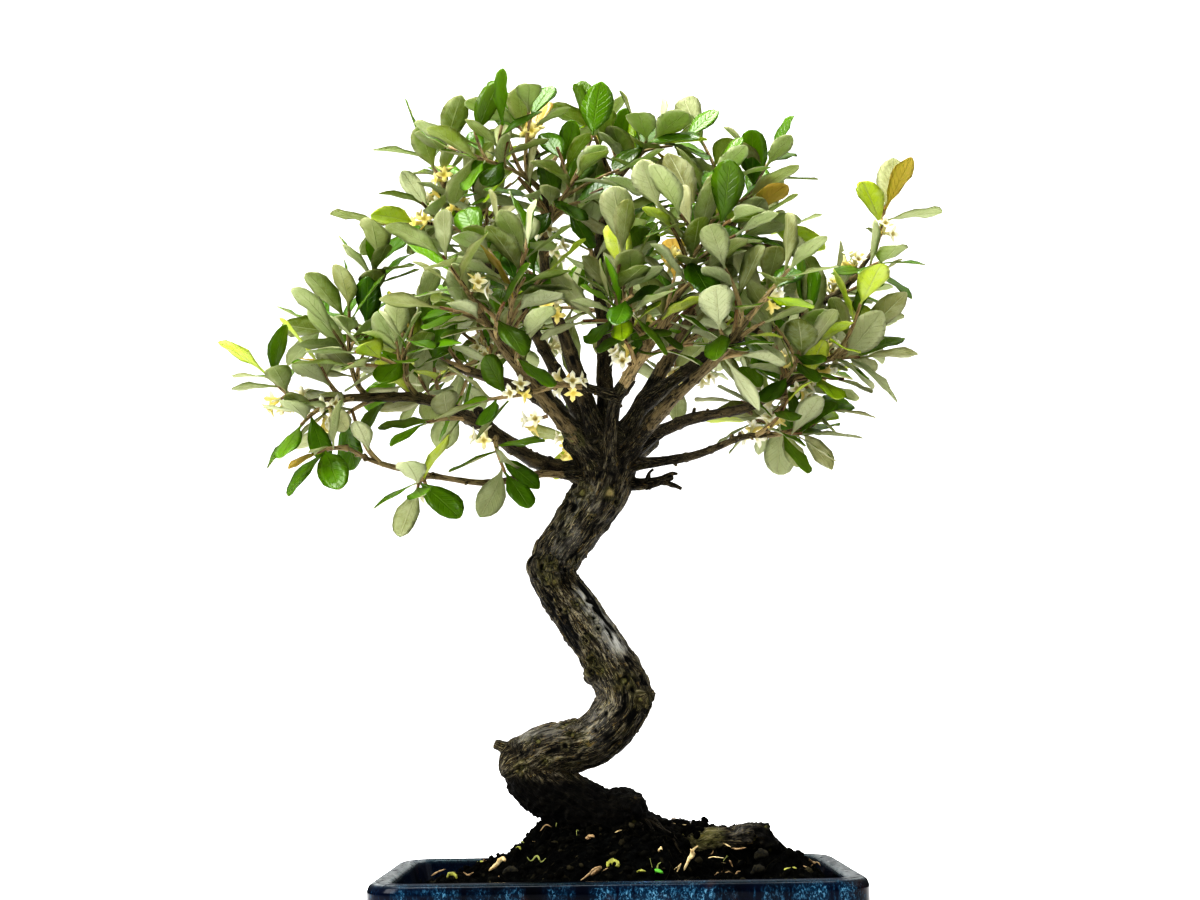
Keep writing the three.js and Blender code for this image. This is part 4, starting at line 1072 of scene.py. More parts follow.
@dataclass(frozen=True)
class GlazeFinish:
    """Dark blue glaze that ran: pale blue mottles in drips, grey-brown where it is thin on an edge."""

    navy: Triple = (0.0016, 0.0044, 0.0150)
    ink: Triple = (0.0006, 0.0010, 0.0024)
    teal: Triple = (0.003, 0.022, 0.046)
    sky: Triple = (0.020, 0.085, 0.150)
    mist: Triple = (0.120, 0.270, 0.370)
    blue: Triple = (0.024, 0.095, 0.300)
    thin: Triple = (0.026, 0.056, 0.066)
    dust: Triple = (0.22, 0.23, 0.23)
    rust: Triple = (0.050, 0.020, 0.012)
    clay: Triple = (0.16, 0.085, 0.05)
    roughness: float = 0.14
    specular: float = 0.11

    def material(self) -> bpy.types.Material:
        """Builds the material; it reads glaze (thinness, bare clay, facing outward) and wear (dust, low)."""
        shade = Shade("glaze")
        place = shade.place()
        thin, bare, outward = shade.parts(shade.mark("glaze"))
        dust, low, _ = shade.parts(shade.mark("wear"))
        drips = shade.noise(place, (64, 64, 11), 5, 0.68, 0.5)
        broad = shade.noise(place, (30, 30, 6), 2, 0.5)
        speck = shade.noise(place, (1100, 1100, 620), 4, 0.72, 0.6)
        base = shade.mix(shade.level(broad, 0.40, 0.60), self.ink, self.navy)
        zone = shade.times(shade.level(drips, 0.45, 0.54), shade.level(broad, 0.45, 0.56))
        inner = shade.math("ADD", shade.times(outward, 0.95), 0.05)
        zone = shade.times(zone, inner)
        run = shade.times(shade.level(drips, 0.65, 0.68), inner)
        zone = shade.math("MAXIMUM", shade.times(zone, low), run)
        base = shade.mix(shade.times(zone, 0.8), base, self.teal)
        base = shade.mix(shade.times(run, 0.7), base, self.blue)
        base = shade.mix(shade.times(shade.level(speck, 0.50, 0.55), zone), base, self.sky)
        strong = shade.times(zone, shade.level(drips, 0.48, 0.58))
        base = shade.mix(shade.times(shade.level(speck, 0.55, 0.60), strong), base, self.mist)
        warm = shade.level(shade.noise(place, 60, 3), 0.60, 0.68)
        base = shade.mix(shade.times(warm, 0.3), base, self.rust)
        base = shade.mix(shade.times(thin, shade.level(speck, 0.35, 0.55)), base, self.thin)
        cloud = shade.noise(place, 260, 4, 0.65)
        dust = shade.times(dust, shade.level(cloud, 0.34, 0.60))
        base = shade.mix(dust, base, self.dust)
        base = shade.mix(bare, base, self.clay)
        worn = shade.math("MAXIMUM", bare, dust)
        rough = shade.math("ADD", shade.times(worn, 0.7), self.roughness)
        ripple = shade.noise(place, (70, 70, 40), 2)
        plugs = {"Base Color": base, "Roughness": rough, "Specular IOR Level": self.specular,
                 "Normal": shade.bump(ripple, 0.0008, 0.35)}
        return shade.surface(plugs)


@dataclass(frozen=True)
class EarthFinish:
    """Damp potting soil, near black, with brown fibre and a few grey grains."""

    black: Triple = (0.0010, 0.0012, 0.0011)
    brown: Triple = (0.0082, 0.0088, 0.0082)
    fibre: Triple = (0.046, 0.040, 0.026)
    grit: Triple = (0.078, 0.068, 0.038)
    roughness: float = 0.9
    specular: float = 0.05

    def material(self) -> bpy.types.Material:
        """Builds the material; it reads the mark tone, whose first number lightens a grain."""
        shade = Shade("earth")
        place = shade.place()
        light, _, _ = shade.parts(shade.mark("tone"))
        coarse = shade.noise(place, 260, 4, 0.65)
        fine = shade.noise(place, 1500, 3, 0.7)
        colour = shade.mix(shade.level(coarse, 0.42, 0.72), self.black, self.brown)
        colour = shade.mix(shade.level(fine, 0.62, 0.74), colour, self.fibre)
        colour = shade.mix(light, colour, self.grit)
        relief = shade.math("ADD", shade.times(coarse, 0.6), shade.times(fine, 0.4))
        plugs = {"Base Color": colour, "Roughness": self.roughness, "Specular IOR Level": self.specular,
                 "Normal": shade.bump(relief, 0.0030, 1.0)}
        return shade.surface(plugs)


@dataclass(frozen=True)
class LitterFinish:
    """What fell on the soil or sprouts there, in one colour with a fine mottle."""

    name: str
    colour: Triple
    other: Triple
    roughness: float = 0.6

    def material(self) -> bpy.types.Material:
        """Builds the material."""
        shade = Shade(self.name)
        cloud = shade.noise(shade.place(), 700, 3, 0.6)
        colour = shade.mix(shade.level(cloud, 0.38, 0.64), self.colour, self.other)
        plugs = {"Base Color": colour, "Roughness": self.roughness,
                 "Normal": shade.bump(cloud, 0.0006, 1.0)}
        return shade.surface(plugs)


# Wood


@dataclass(frozen=True)
class Scar:
    """Knot, eye or cut on the trunk, where the front of the trunk shows it, in millimetres."""

    x: float
    z: float
    radius: float
    rim: float
    depth: float
    cut: float = 0.0


# Knots, eyes and cuts seen in the photograph, from the crown down
SCARS = tuple(Scar(*row) for row in (
    (0.2, 245.6, 2.2, 0.9, -0.3, 1.0), (3.5, 240.5, 1.6, 0.8, 1.2), (-35.6, 209.4, 3.0, 1.3, 2.2),
    (-30.4, 212.6, 2.4, 1.2, 1.4), (-26.0, 209.0, 1.9, 0.8, 1.5), (-34.6, 203.0, 2.1, 0.9, 1.2),
    (-28.4, 200.8, 2.2, 0.9, 0.9, 0.35), (-17.2, 191.8, 1.9, 0.7, 0.9), (-9.4, 184.6, 1.5, 0.6, 0.8),
    (-6.6, 179.2, 1.4, 0.6, 0.8), (-14.6, 173.4, 1.5, 0.6, 0.6), (-24.4, 187.0, 1.2, 0.5, 0.6),
    (-11.0, 163.5, 2.4, 1.4, 1.2), (-7.0, 158.6, 2.2, 1.2, 1.0), (-13.0, 158.0, 1.6, 1.1, 0.8),
    (5.3, 153.6, 3.4, 1.3, 1.9), (1.2, 150.2, 1.7, 0.9, 0.9, 0.3), (11.4, 141.8, 3.4, 1.3, 0.9, 0.15),
    (16.0, 140.0, 1.2, 0.6, 0.5, 0.4), (-26.0, 121.5, 1.8, 0.7, 0.8), (-46.8, 110.6, 2.3, 0.9, 1.2),
    (-34.8, 113.2, 1.9, 0.7, 0.9), (-43.0, 125.6, 1.3, 0.8, -0.3), (-38.0, 126.4, 1.2, 0.7, -0.3),
    (-19.9, 268.0, 4.2, 0.9, 1.0), (-15.8, 247.5, 3.6, 1.3, 1.2, 0.12), (-24.6, 226.0, 1.5, 0.7, 0.7),
    (-10.4, 233.0, 1.3, 0.6, 0.6),
))


class Bark:
    """Relief and straightened place of the bark round a set of stems."""

    NEAR = 20

    def __init__(self, stems: Sequence[Sweep], seed: int) -> None:
        """Notes the stems and seeds the relief."""
        self.stems = stems
        self.broad, self.warp, self.ridges, self.cracks, self.fine, self.nodes = (
            Roughness(seed + k) for k in range(6))

    def relief(self, grain: Array, radius: Array) -> Array:
        """Height of the bark.

        Broad lumps, long ridges (one less the absolute noise, squared), fissures where a second noise passes
        zero, nodules and a fine grain, all longer along the stem than round it.

        Args:
            grain: Places on the straightened stem.
            radius: Radius of the stem there.

        Returns:
            Heights in millimetres.
        """
        bent = grain.copy()
        bent[..., 0] += self.warp.at(grain, (8, 8, 15)) * 1.8
        bent[..., 1] += self.warp.at(grain + 91, (8, 8, 15)) * 1.8
        ridge = (1 - np.abs(self.ridges.at(bent, (2.9, 2.9, 10)))) ** 2
        gap = np.abs(self.cracks.at(bent, (4.6, 4.6, 14)))
        fissure = np.clip(1 - gap / 0.13, 0, 1)
        height = (self.broad.at(grain, (10, 10, 24)) * 0.75 + (ridge - 0.4) * 0.55 - fissure * 0.60
                  + self.nodes.at(bent, (3.4, 3.4, 6)) * 0.52 + self.fine.at(grain, (1.7, 1.7, 3.2)) * 0.48)
        return height * np.clip(radius / 11, 0.22, 1.0)

    def at(self, points: Array) -> tuple[Array, Array]:
        """Straightened place and relief at each point.

        A point belongs to the stem whose surface is nearest; where two are about as near their reliefs are
        mixed, so that no step shows.

        Args:
            points: Places near the stems.

        Returns:
            Straightened places, and heights in millimetres.
        """
        gap = np.full((len(self.stems), len(points)), 1e3)
        grain, height = np.zeros((*gap.shape, 3)), np.zeros(gap.shape)
        for number, stem in enumerate(self.stems):
            low, high = stem.centres.min(axis=0) - self.NEAR, stem.centres.max(axis=0) + self.NEAR
            here = np.flatnonzero(((points > low) & (points < high)).all(axis=1))
            places = points[here]
            nearest = np.concatenate([
                ((part[:, None] - stem.centres) ** 2).sum(axis=2).argmin(axis=1)
                for part in np.array_split(places, max(1, len(places) // 4000))
            ])
            away = places - stem.centres[nearest]
            radius = stem.radii[nearest]
            across = (away * stem.side[nearest]).sum(axis=1)
            other = (away * stem.other[nearest]).sum(axis=1)
            ahead = (away * stem.tangents[nearest]).sum(axis=1)
            apart = np.maximum(np.hypot(across, other), 1e-6)
            girth = max(float(stem.radii.mean()), 1.5)
            grain[number, here] = np.stack([across / apart * girth, other / apart * girth,
                                            stem.lengths[nearest] + ahead], axis=1) + number * 37.0
            gap[number, here] = np.hypot(apart, np.where(np.abs(ahead) < 2, 0, ahead)) - radius
            height[number, here] = self.relief(grain[number, here], radius)
        weight = np.exp(-np.clip(gap - gap.min(axis=0), 0, 12) / 0.7)
        weight /= weight.sum(axis=0)
        best = gap.argmin(axis=0)
        return grain[best, np.arange(len(points))], (weight * height).sum(axis=0)


@dataclass
class Trunk:
    """Trunk, root flare and the first stretch of every limb, joined in one skin of bark."""

    finish: BarkFinish = BarkFinish()
    voxel: float = 0.86
    smoothing: int = 3
    stem_step: float = 1.0
    sides: int = 40
    limb_start: float = 24
    fork_start: float = 48
    forks: tuple[str, ...] = ("right_up", "front_fork")
    taper: float = 8
    taper_share: float = 0.8
    thinner: float = 0.27
    thin_over: tuple[float, float] = (4, 22)
    elbow: Ball = (-44.6, 2, 113.6, 13.0)
    dark_head: tuple[float, float] = (240, 258)
    # Painted shade at the foot: the heights over which it fades out
    painted_foot_shade: tuple[float, float] = (113, 103)
    # Painted sheen: points of a line down the trunk's front where the bark is lit silver, and its width
    painted_sheen: tuple[Triple, ...] = ((-13, -11, 196), (-5.5, -14, 183), (1, -16, 168))
    painted_sheen_width: float = 4.7
    # Further painted sheen: start, stop, width and strength of each line where the bark is lightened as if
    # lit
    sheens: tuple[tuple[Triple, Triple, float, float], ...] = (
        ((-30, -5, 213), (-11, -9, 244), 7, 0.22), ((-1, -16, 148), (-9, -14, 128), 7, 0.28),
        ((-43, -4, 125), (-14, -8, 128), 5, 0.45), ((58, -15, 79), (68, -15, 79), 7, 0.30),
    )
    mossy: tuple[Ball, ...] = ((46, -14, 77, 6), (40, -12, 75, 5))
    small_scars: int = 70
    small_between: tuple[float, float] = (70, 262)
    found_within: float = 1.6
    eyed_from: float = 1.8
    knobs: tuple[Ball, ...] = (
        (12.4, -17, 154.2, 3.3), (-9.6, -13, 156.5, 5.4), (12.6, -14, 142.6, 4.6), (10, -19, 141.0, 4.2),
        (-37.4, -4, 207.5, 4.2), (-30.5, -11, 210.5, 3.6), (-52, 0, 119.5, 4.4), (7.5, -10, 92.0, 6.0),
        (62, -13, 77.5, 5.6), (70, -11, 78, 5.2),
    )
    burls: tuple[Ball, ...] = (
        (-31, -9, 207, 9), (-9, -15, 158, 9), (9, -18, 150, 10), (13, -17, 141, 7), (-46, -6, 116, 7),
        (8, -12, 96, 9), (66, -13, 78, 9), (0, -14, 244, 8),
    )
    bare: tuple[Ball, ...] = ((44, -12, 76, 9), (61, -14, 77, 8), (10, -16, 99, 4))
    seed: int = 41

    def limb_share(self, name: str) -> float:
        """Share of a limb that belongs to the trunk's skin."""
        start = self.fork_start if name in self.forks else self.limb_start
        return start / reach(LIMBS[name])

    def stems(self) -> list[Sweep]:
        """Trunk, roots, stubs and limb starts as tubes; a limb start thins over its last few millimetres."""
        whole = [sweep_route(route, 0, 1, self.stem_step, self.sides)
                 for route in (TRUNK_FOOT, TRUNK_TOP, *ROOTS, *STUBS)]
        for name, route in LIMBS.items():
            stem = sweep_route(route, 0, self.limb_share(name), self.stem_step, self.sides // 2)
            left = stem.lengths[-1] - stem.lengths
            stem.radii = stem.radii * (1 - self.thinner * smooth_step(*self.thin_over, stem.lengths))
            stem.radii = stem.radii * (1 - (1 - self.taper_share) * smooth_step(self.taper, 0, left))
            whole.append(stem)
        return whole

    def balls(self) -> list[Sweep]:
        """Swellings: rings up a ball, the radius being the root of what the height leaves."""
        rise = np.sin(np.linspace(-1, 1, 15) * math.pi / 2 * 0.97)
        places = np.vstack([SWELLINGS, self.elbow, self.knobs])
        return [
            Sweep(centre + np.outer(rise * radius, UP), radius * np.sqrt(1 - rise ** 2), 24)
            for centre, radius in zip(places[:, :3], places[:, 3])
        ]

    def joined(self, stems: Sequence[Sweep]) -> tuple[Array, Array, Array]:
        """One skin round all the tubes and swellings, from cells of the voxel size.

        Args:
            stems: The tubes.

        Returns:
            Points in millimetres, corner numbers in fours, and the normal at each point.
        """
        points, faces, count = [], [], 0
        for tube in (*stems, *self.balls()):
            skin, groups = tube.skin()
            points.append(skin)
            faces += [tuple(row) for group in groups for row in (group + count).tolist()]
            count += len(skin)
        mesh = bpy.data.meshes.new("tubes")
        mesh.from_pydata(np.concatenate(points), [], faces)
        rough = in_scene("tubes", mesh)
        remesh = rough.modifiers.new("join", "REMESH")
        remesh.mode = "VOXEL"
        remesh.voxel_size = self.voxel
        smooth = rough.modifiers.new("smooth", "SMOOTH")
        smooth.iterations = self.smoothing
        bpy.context.view_layer.update()
        skin = rough.evaluated_get(bpy.context.evaluated_depsgraph_get()).to_mesh()
        places, normals = np.zeros(len(skin.vertices) * 3), np.zeros(len(skin.vertices) * 3)
        corners = np.zeros(len(skin.loops), np.int32)
        skin.vertices.foreach_get("co", places)
        skin.vertices.foreach_get("normal", normals)
        skin.loops.foreach_get("vertex_index", corners)
        bpy.data.objects.remove(rough)
        bpy.data.meshes.remove(mesh)
        return places.reshape(-1, 3), corners.reshape(-1, 4), normals.reshape(-1, 3)

    def scarred(self, points: Array, height: Array) -> tuple[Array, Array, Array, Array]:
        """Adds the knots, eyes and cuts: a raised rim round a pit or a flat cut.

        Args:
            points: Places on the skin.
            height: Relief so far.

        Returns:
            The relief, and how dark, how freshly cut and how olive each point is.
        """
        dark, cut, eye = np.zeros(len(points)), np.zeros(len(points)), np.zeros(len(points))
        rng = np.random.default_rng(self.seed)
        spots = []
        for scar in SCARS:
            near = np.hypot(points[:, 0] - scar.x, points[:, 2] - scar.z) < self.found_within
            if near.any():
                front = np.where(near, points[:, 1], np.inf).argmin()
                spots.append((points[front], scar))
        low, high = self.small_between
        body = np.flatnonzero((points[:, 2] > low) & (points[:, 2] < high))
        for index in rng.choice(body, self.small_scars, replace=False):
            size = 0.8 + 1.9 * rng.random() ** 2
            spots.append((points[index], Scar(0, 0, size, 0.3 + size * 0.3, size * 0.45)))
        warts, grit = Roughness(self.seed + 20).at(points, 2.7), Roughness(self.seed + 21).at(points, 1.3)
        for *middle, size in self.burls:
            near = self.near_to(points, middle, size)
            height = height + near * ((1 - np.abs(warts)) ** 2 * 1.5 + grit * 0.5 - 0.6)
            dark = np.maximum(dark, near * (0.42 + 0.5 * smooth_step(0.15, 0.5, np.abs(warts))))
        for place, scar in spots:
            wobble = 1 + 0.18 * np.sin(points @ np.array([1.3, 0.7, 0.9]))
            away = np.linalg.norm(points - place, axis=1) * wobble
            near = away < scar.radius * 3
            rim = np.exp(-((away - scar.radius * 1.15) / (scar.radius * 0.42)) ** 2)
            pit = smooth_step(scar.radius, scar.radius * 0.45, away)
            button = pit * 0
            if scar.radius > self.eyed_from:
                button = smooth_step(scar.radius * 0.62, scar.radius * 0.25, away)
            height = np.where(near, height * (1 - 0.7 * pit) + scar.rim * rim, height)
            height = height - scar.depth * (pit - 0.85 * button)
            dark = np.maximum(dark, (pit - button) * (1 - scar.cut) * min(1.0, max(scar.depth, 0.2)))
            cut = np.maximum(cut, pit * scar.cut)
            if scar.x:
                ring = np.exp(-((away - scar.radius * 1.7) / (scar.radius * 0.3)) ** 2)
                dark = np.maximum(dark, ring * near * 0.75)
            eye = np.maximum(eye, np.maximum((0.22 if scar.x else 0.02) * rim, 0.85 * button) * near)
        return height, dark, cut, eye

    @staticmethod
    def near_to(points: Array, middle: Sequence[float], size: float) -> Array:
        """1 at a place and 0 well beyond the size, by the exponential of a fourth power."""
        return np.exp(-(np.linalg.norm(points - middle, axis=1) / size) ** 4)

    @staticmethod
    def from_line(points: Array, start: Array, stop: Array) -> Array:
        """Distance of each point from a line between two places."""
        share = np.clip(((points - start) @ (stop - start)) / ((stop - start) @ (stop - start)), 0, 1)
        return np.linalg.norm(points - start - share[:, None] * (stop - start), axis=1)

    def build(self) -> bpy.types.Object:
        """Makes the piece."""
        stems = self.stems()
        points, faces, normals = self.joined(stems)
        grain, height = Bark(stems, self.seed).at(points)
        height, dark, cut, eye = self.scarred(points, height)
        cloud = Roughness(self.seed + 9).at(points, 11) * 6
        head = smooth_step(*self.dark_head, points[:, 2] + cloud + 0.25 * points[:, 0])
        # foot: towards the soil, more on faces turned down; it roughens the bark and, through dark, paints
        # shade there
        foot = smooth_step(*self.painted_foot_shade, points[:, 2] + cloud * 0.5 + 3 * normals[:, 2])
        height = height + foot * ((1 - np.abs(Roughness(self.seed + 30).at(points, 3.2))) ** 2 * 1.2 - 0.5
                                  + Roughness(self.seed + 31).at(points, 1.4) * 0.4)
        # Painted shade on faces turned down
        below = smooth_step(0.0, -0.75, normals[:, 2]) * 0.55
        # The bare spots leave the painted foot shade off
        for *middle, size in self.bare:
            foot = foot * (1 - 0.97 * self.near_to(points, middle, size))
        # dark: pits and burls, darker towards the crown, and the painted shade at the foot and underneath
        dark = np.clip(np.maximum(dark, np.maximum(np.maximum(head * 0.58, foot), below)), 0, 1) * (1 - cut)
        # Painted sheen: silver along the line, on faces turned to the right and up, as if lit from there
        line = np.array(self.painted_sheen)
        away = np.min([self.from_line(points, *pair) for pair in zip(line[:-1], line[1:])], axis=0)
        silver = np.exp(-(away / self.painted_sheen_width) ** 2) * np.clip(1.15 + cloud / 5, 0, 1)
        silver = silver * smooth_step(-0.45, 0.25, normals[:, 0] * 0.75 + normals[:, 2] * 0.45)
        for *middle, size in self.mossy:
            eye = np.maximum(eye, 0.6 * self.near_to(points, middle, size))
        # Further painted sheen along each listed line
        for start, stop, width, share in self.sheens:
            away = self.from_line(points, np.array(start), np.array(stop))
            silver = np.maximum(silver, share * np.exp(-(away / width) ** 2) * np.clip(0.9 + cloud / 6, 0, 1))
        # sheen_and_eye carries the painted sheen, half of it to smooth the bump, and the olive eyes
        draft = Draft("grain", "bark", "sheen_and_eye")
        draft.add(points + normals * height[:, None], [faces], grain=grain,
                  bark=np.stack([height, dark, cut], axis=1),
                  sheen_and_eye=np.stack([silver, silver * 0.5, eye], axis=1))
        made = draft.piece("trunk", [self.finish.material()], "bark")
        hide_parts("wood")
        return made


@dataclass
class Limbs:
    """Limbs beyond the trunk's skin, and the branchlets on them."""

    finish: TwigFinish = TwigFinish()
    trunk: Trunk = field(default_factory=Trunk)
    overlap: float = 9
    start_share: float = 0.84
    step: float = 1.2
    sides: int = 14
    twig_step: float = 1.4
    twig_sides: int = 9
    twig_flare: float = 0.45
    flare_reach: float = 2.6
    bud_every: float = 13
    thinner: float = 0.27
    spurs: int = 90
    splinters: tuple[tuple[Ball, ...], ...] = (
        ((24, -6, 252, 1.6), (30, -8, 250, 1.3), (35, -9, 247.5, 0.7)),
        ((25, -6, 253, 1.5), (30, -8, 255.5, 1.0), (33, -9, 255, 0.6)),
        ((18, -5, 252, 1.5), (19, -6, 256, 0.9), (21, -7, 258, 0.5)),
        ((3, -14, 292, 2.0), (8, -18, 296, 1.6), (12, -20, 301, 1.2)),
        ((-30, -8, 264, 1.8), (-34, -12, 258, 1.2), (-35, -14, 256, 0.9)),
    )
    pale: dict[str, float] = field(default_factory=lambda: {
        "front_fork": 1.0, "front_arm": 0.9, "right_up": 0.35, "front_left": 0.4, "left_twig": 0.5,
        "front_right": 0.3,
    })
    seed: int = 57

    def tube(self, draft: Draft, route: Array, low: float, high: float, ages: tuple[float, float],
             tone: float, number: int) -> None:
        """Adds a stretch of branch: a swept tube with a streaked relief and a ring of swelling at each bud.

        Args:
            draft: Mesh to add to.
            route: Route of the branch.
            low: Share where the stretch starts.
            high: Share where it ends.
            ages: How young the bark is at both ends of the stretch.
            tone: How pale the bark is.
            number: Number that sets its noise apart.
        """
        thin = route[-1, 3] < 1.0
        sweep = sweep_route(route, low, high, self.twig_step if thin else self.step,
                            self.twig_sides if thin else self.sides)
        grain = sweep.grain(float(sweep.radii.mean())) + number * 23.0
        noise = Roughness(self.seed)
        lumps = noise.at(grain, (4, 4, 11)) * 0.10 + noise.at(grain + 50, (1.4, 1.4, 6)) * 0.07
        place = (sweep.lengths + number * 3.7) % self.bud_every - self.bud_every / 2
        bud = 0.16 * np.exp(-(place / 0.9) ** 2)
        relief = (lumps + bud[:, None]) * np.clip(sweep.radii, 0.6, 4)[:, None]
        if thin:
            relief = relief + (self.twig_flare * np.exp(-sweep.lengths / self.flare_reach))[:, None]
        else:
            grown = smooth_step(0, self.overlap, sweep.lengths)
            start = self.start_share
            sweep.radii = sweep.radii * (1 - self.thinner) * (start + (1 - start) * grown)
        points, faces = sweep.skin(relief)
        age = np.broadcast_to(np.linspace(*ages, len(sweep.centres))[:, None], relief.shape)
        bark = np.stack([relief, age, np.full(relief.shape, tone)], axis=-1)
        draft.add(points, faces, grain=sweep.ended(grain), bark=sweep.ended(bark))

    def build_limbs(self) -> bpy.types.Object:
        """Makes the limbs, each from inside the end of its start in the trunk's skin."""
        draft = Draft("grain", "bark")
        for number, (name, route) in enumerate(LIMBS.items()):
            low = self.trunk.limb_share(name) - self.overlap / reach(route)
            self.tube(draft, route, low, 1.0, (0.0, 0.5), self.pale.get(name, 0.05), number)
        self.add_spurs(draft)
        made = draft.piece("limbs", [self.finish.material()], "bark")
        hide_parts("wood")
        return made

    def add_spurs(self, draft: Draft) -> None:
        """Adds broken twigs at the crown's foot, and short pruned spurs with pale ends along the limbs."""
        rng = np.random.default_rng(self.seed)
        for route in self.splinters:
            sweep = sweep_route(np.array(route, float), 0, 1, 0.9, 9)
            relief = Roughness(self.seed).at(sweep.grain(1.5), (1.4, 1.4, 2.4)) * 0.3
            points, faces = sweep.skin(relief)
            draft.add(points, faces, bark=np.tile([0.0, 0.04, 0.0], (len(points), 1)), grain=points)
        routes = list(LIMBS.values())
        for _ in range(self.spurs):
            route = routes[int(rng.integers(len(routes)))]
            share = 0.16 + 0.8 * rng.random()
            spot, forward = along(route, share), heading(route, share)
            aim = unit(around(forward, rng.random() * 2 * math.pi) + forward * 0.5)
            start, stop = spot[3] * 0.4, spot[3] * (1 - self.thinner) + 0.8 + 2.6 * rng.random() ** 2
            thick = 0.55 + 0.5 * rng.random()
            middle = spot[:3] + aim * np.linspace(start, stop, 5)[:, None]
            middle[-2:] += UP * 0.2
            points, faces = Sweep(middle, thick * np.array([1.5, 1.15, 1.0, 1.05, 0.8]), 8).skin()
            age = np.full(len(points), 0.12 + 0.35 * share)
            age[-10:-1] = 0.7
            draft.add(points, faces, bark=np.stack([age * 0, age, age * 0], axis=1), grain=points)

    def build_branchlets(self, growth: Growth) -> bpy.types.Object:
        """Makes the leafless foot of every shoot."""
        draft = Draft("grain", "bark")
        for number, route in enumerate(growth.shoots):
            self.tube(draft, route, 0, growth.habit.woody_share, (0.4, 0.72),
                      (number * 0.37) % 0.7, number + 60)
        made = draft.piece("branchlets", [self.finish.material()], "bark")
        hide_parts("wood")
        return made


# Leaves and flowers


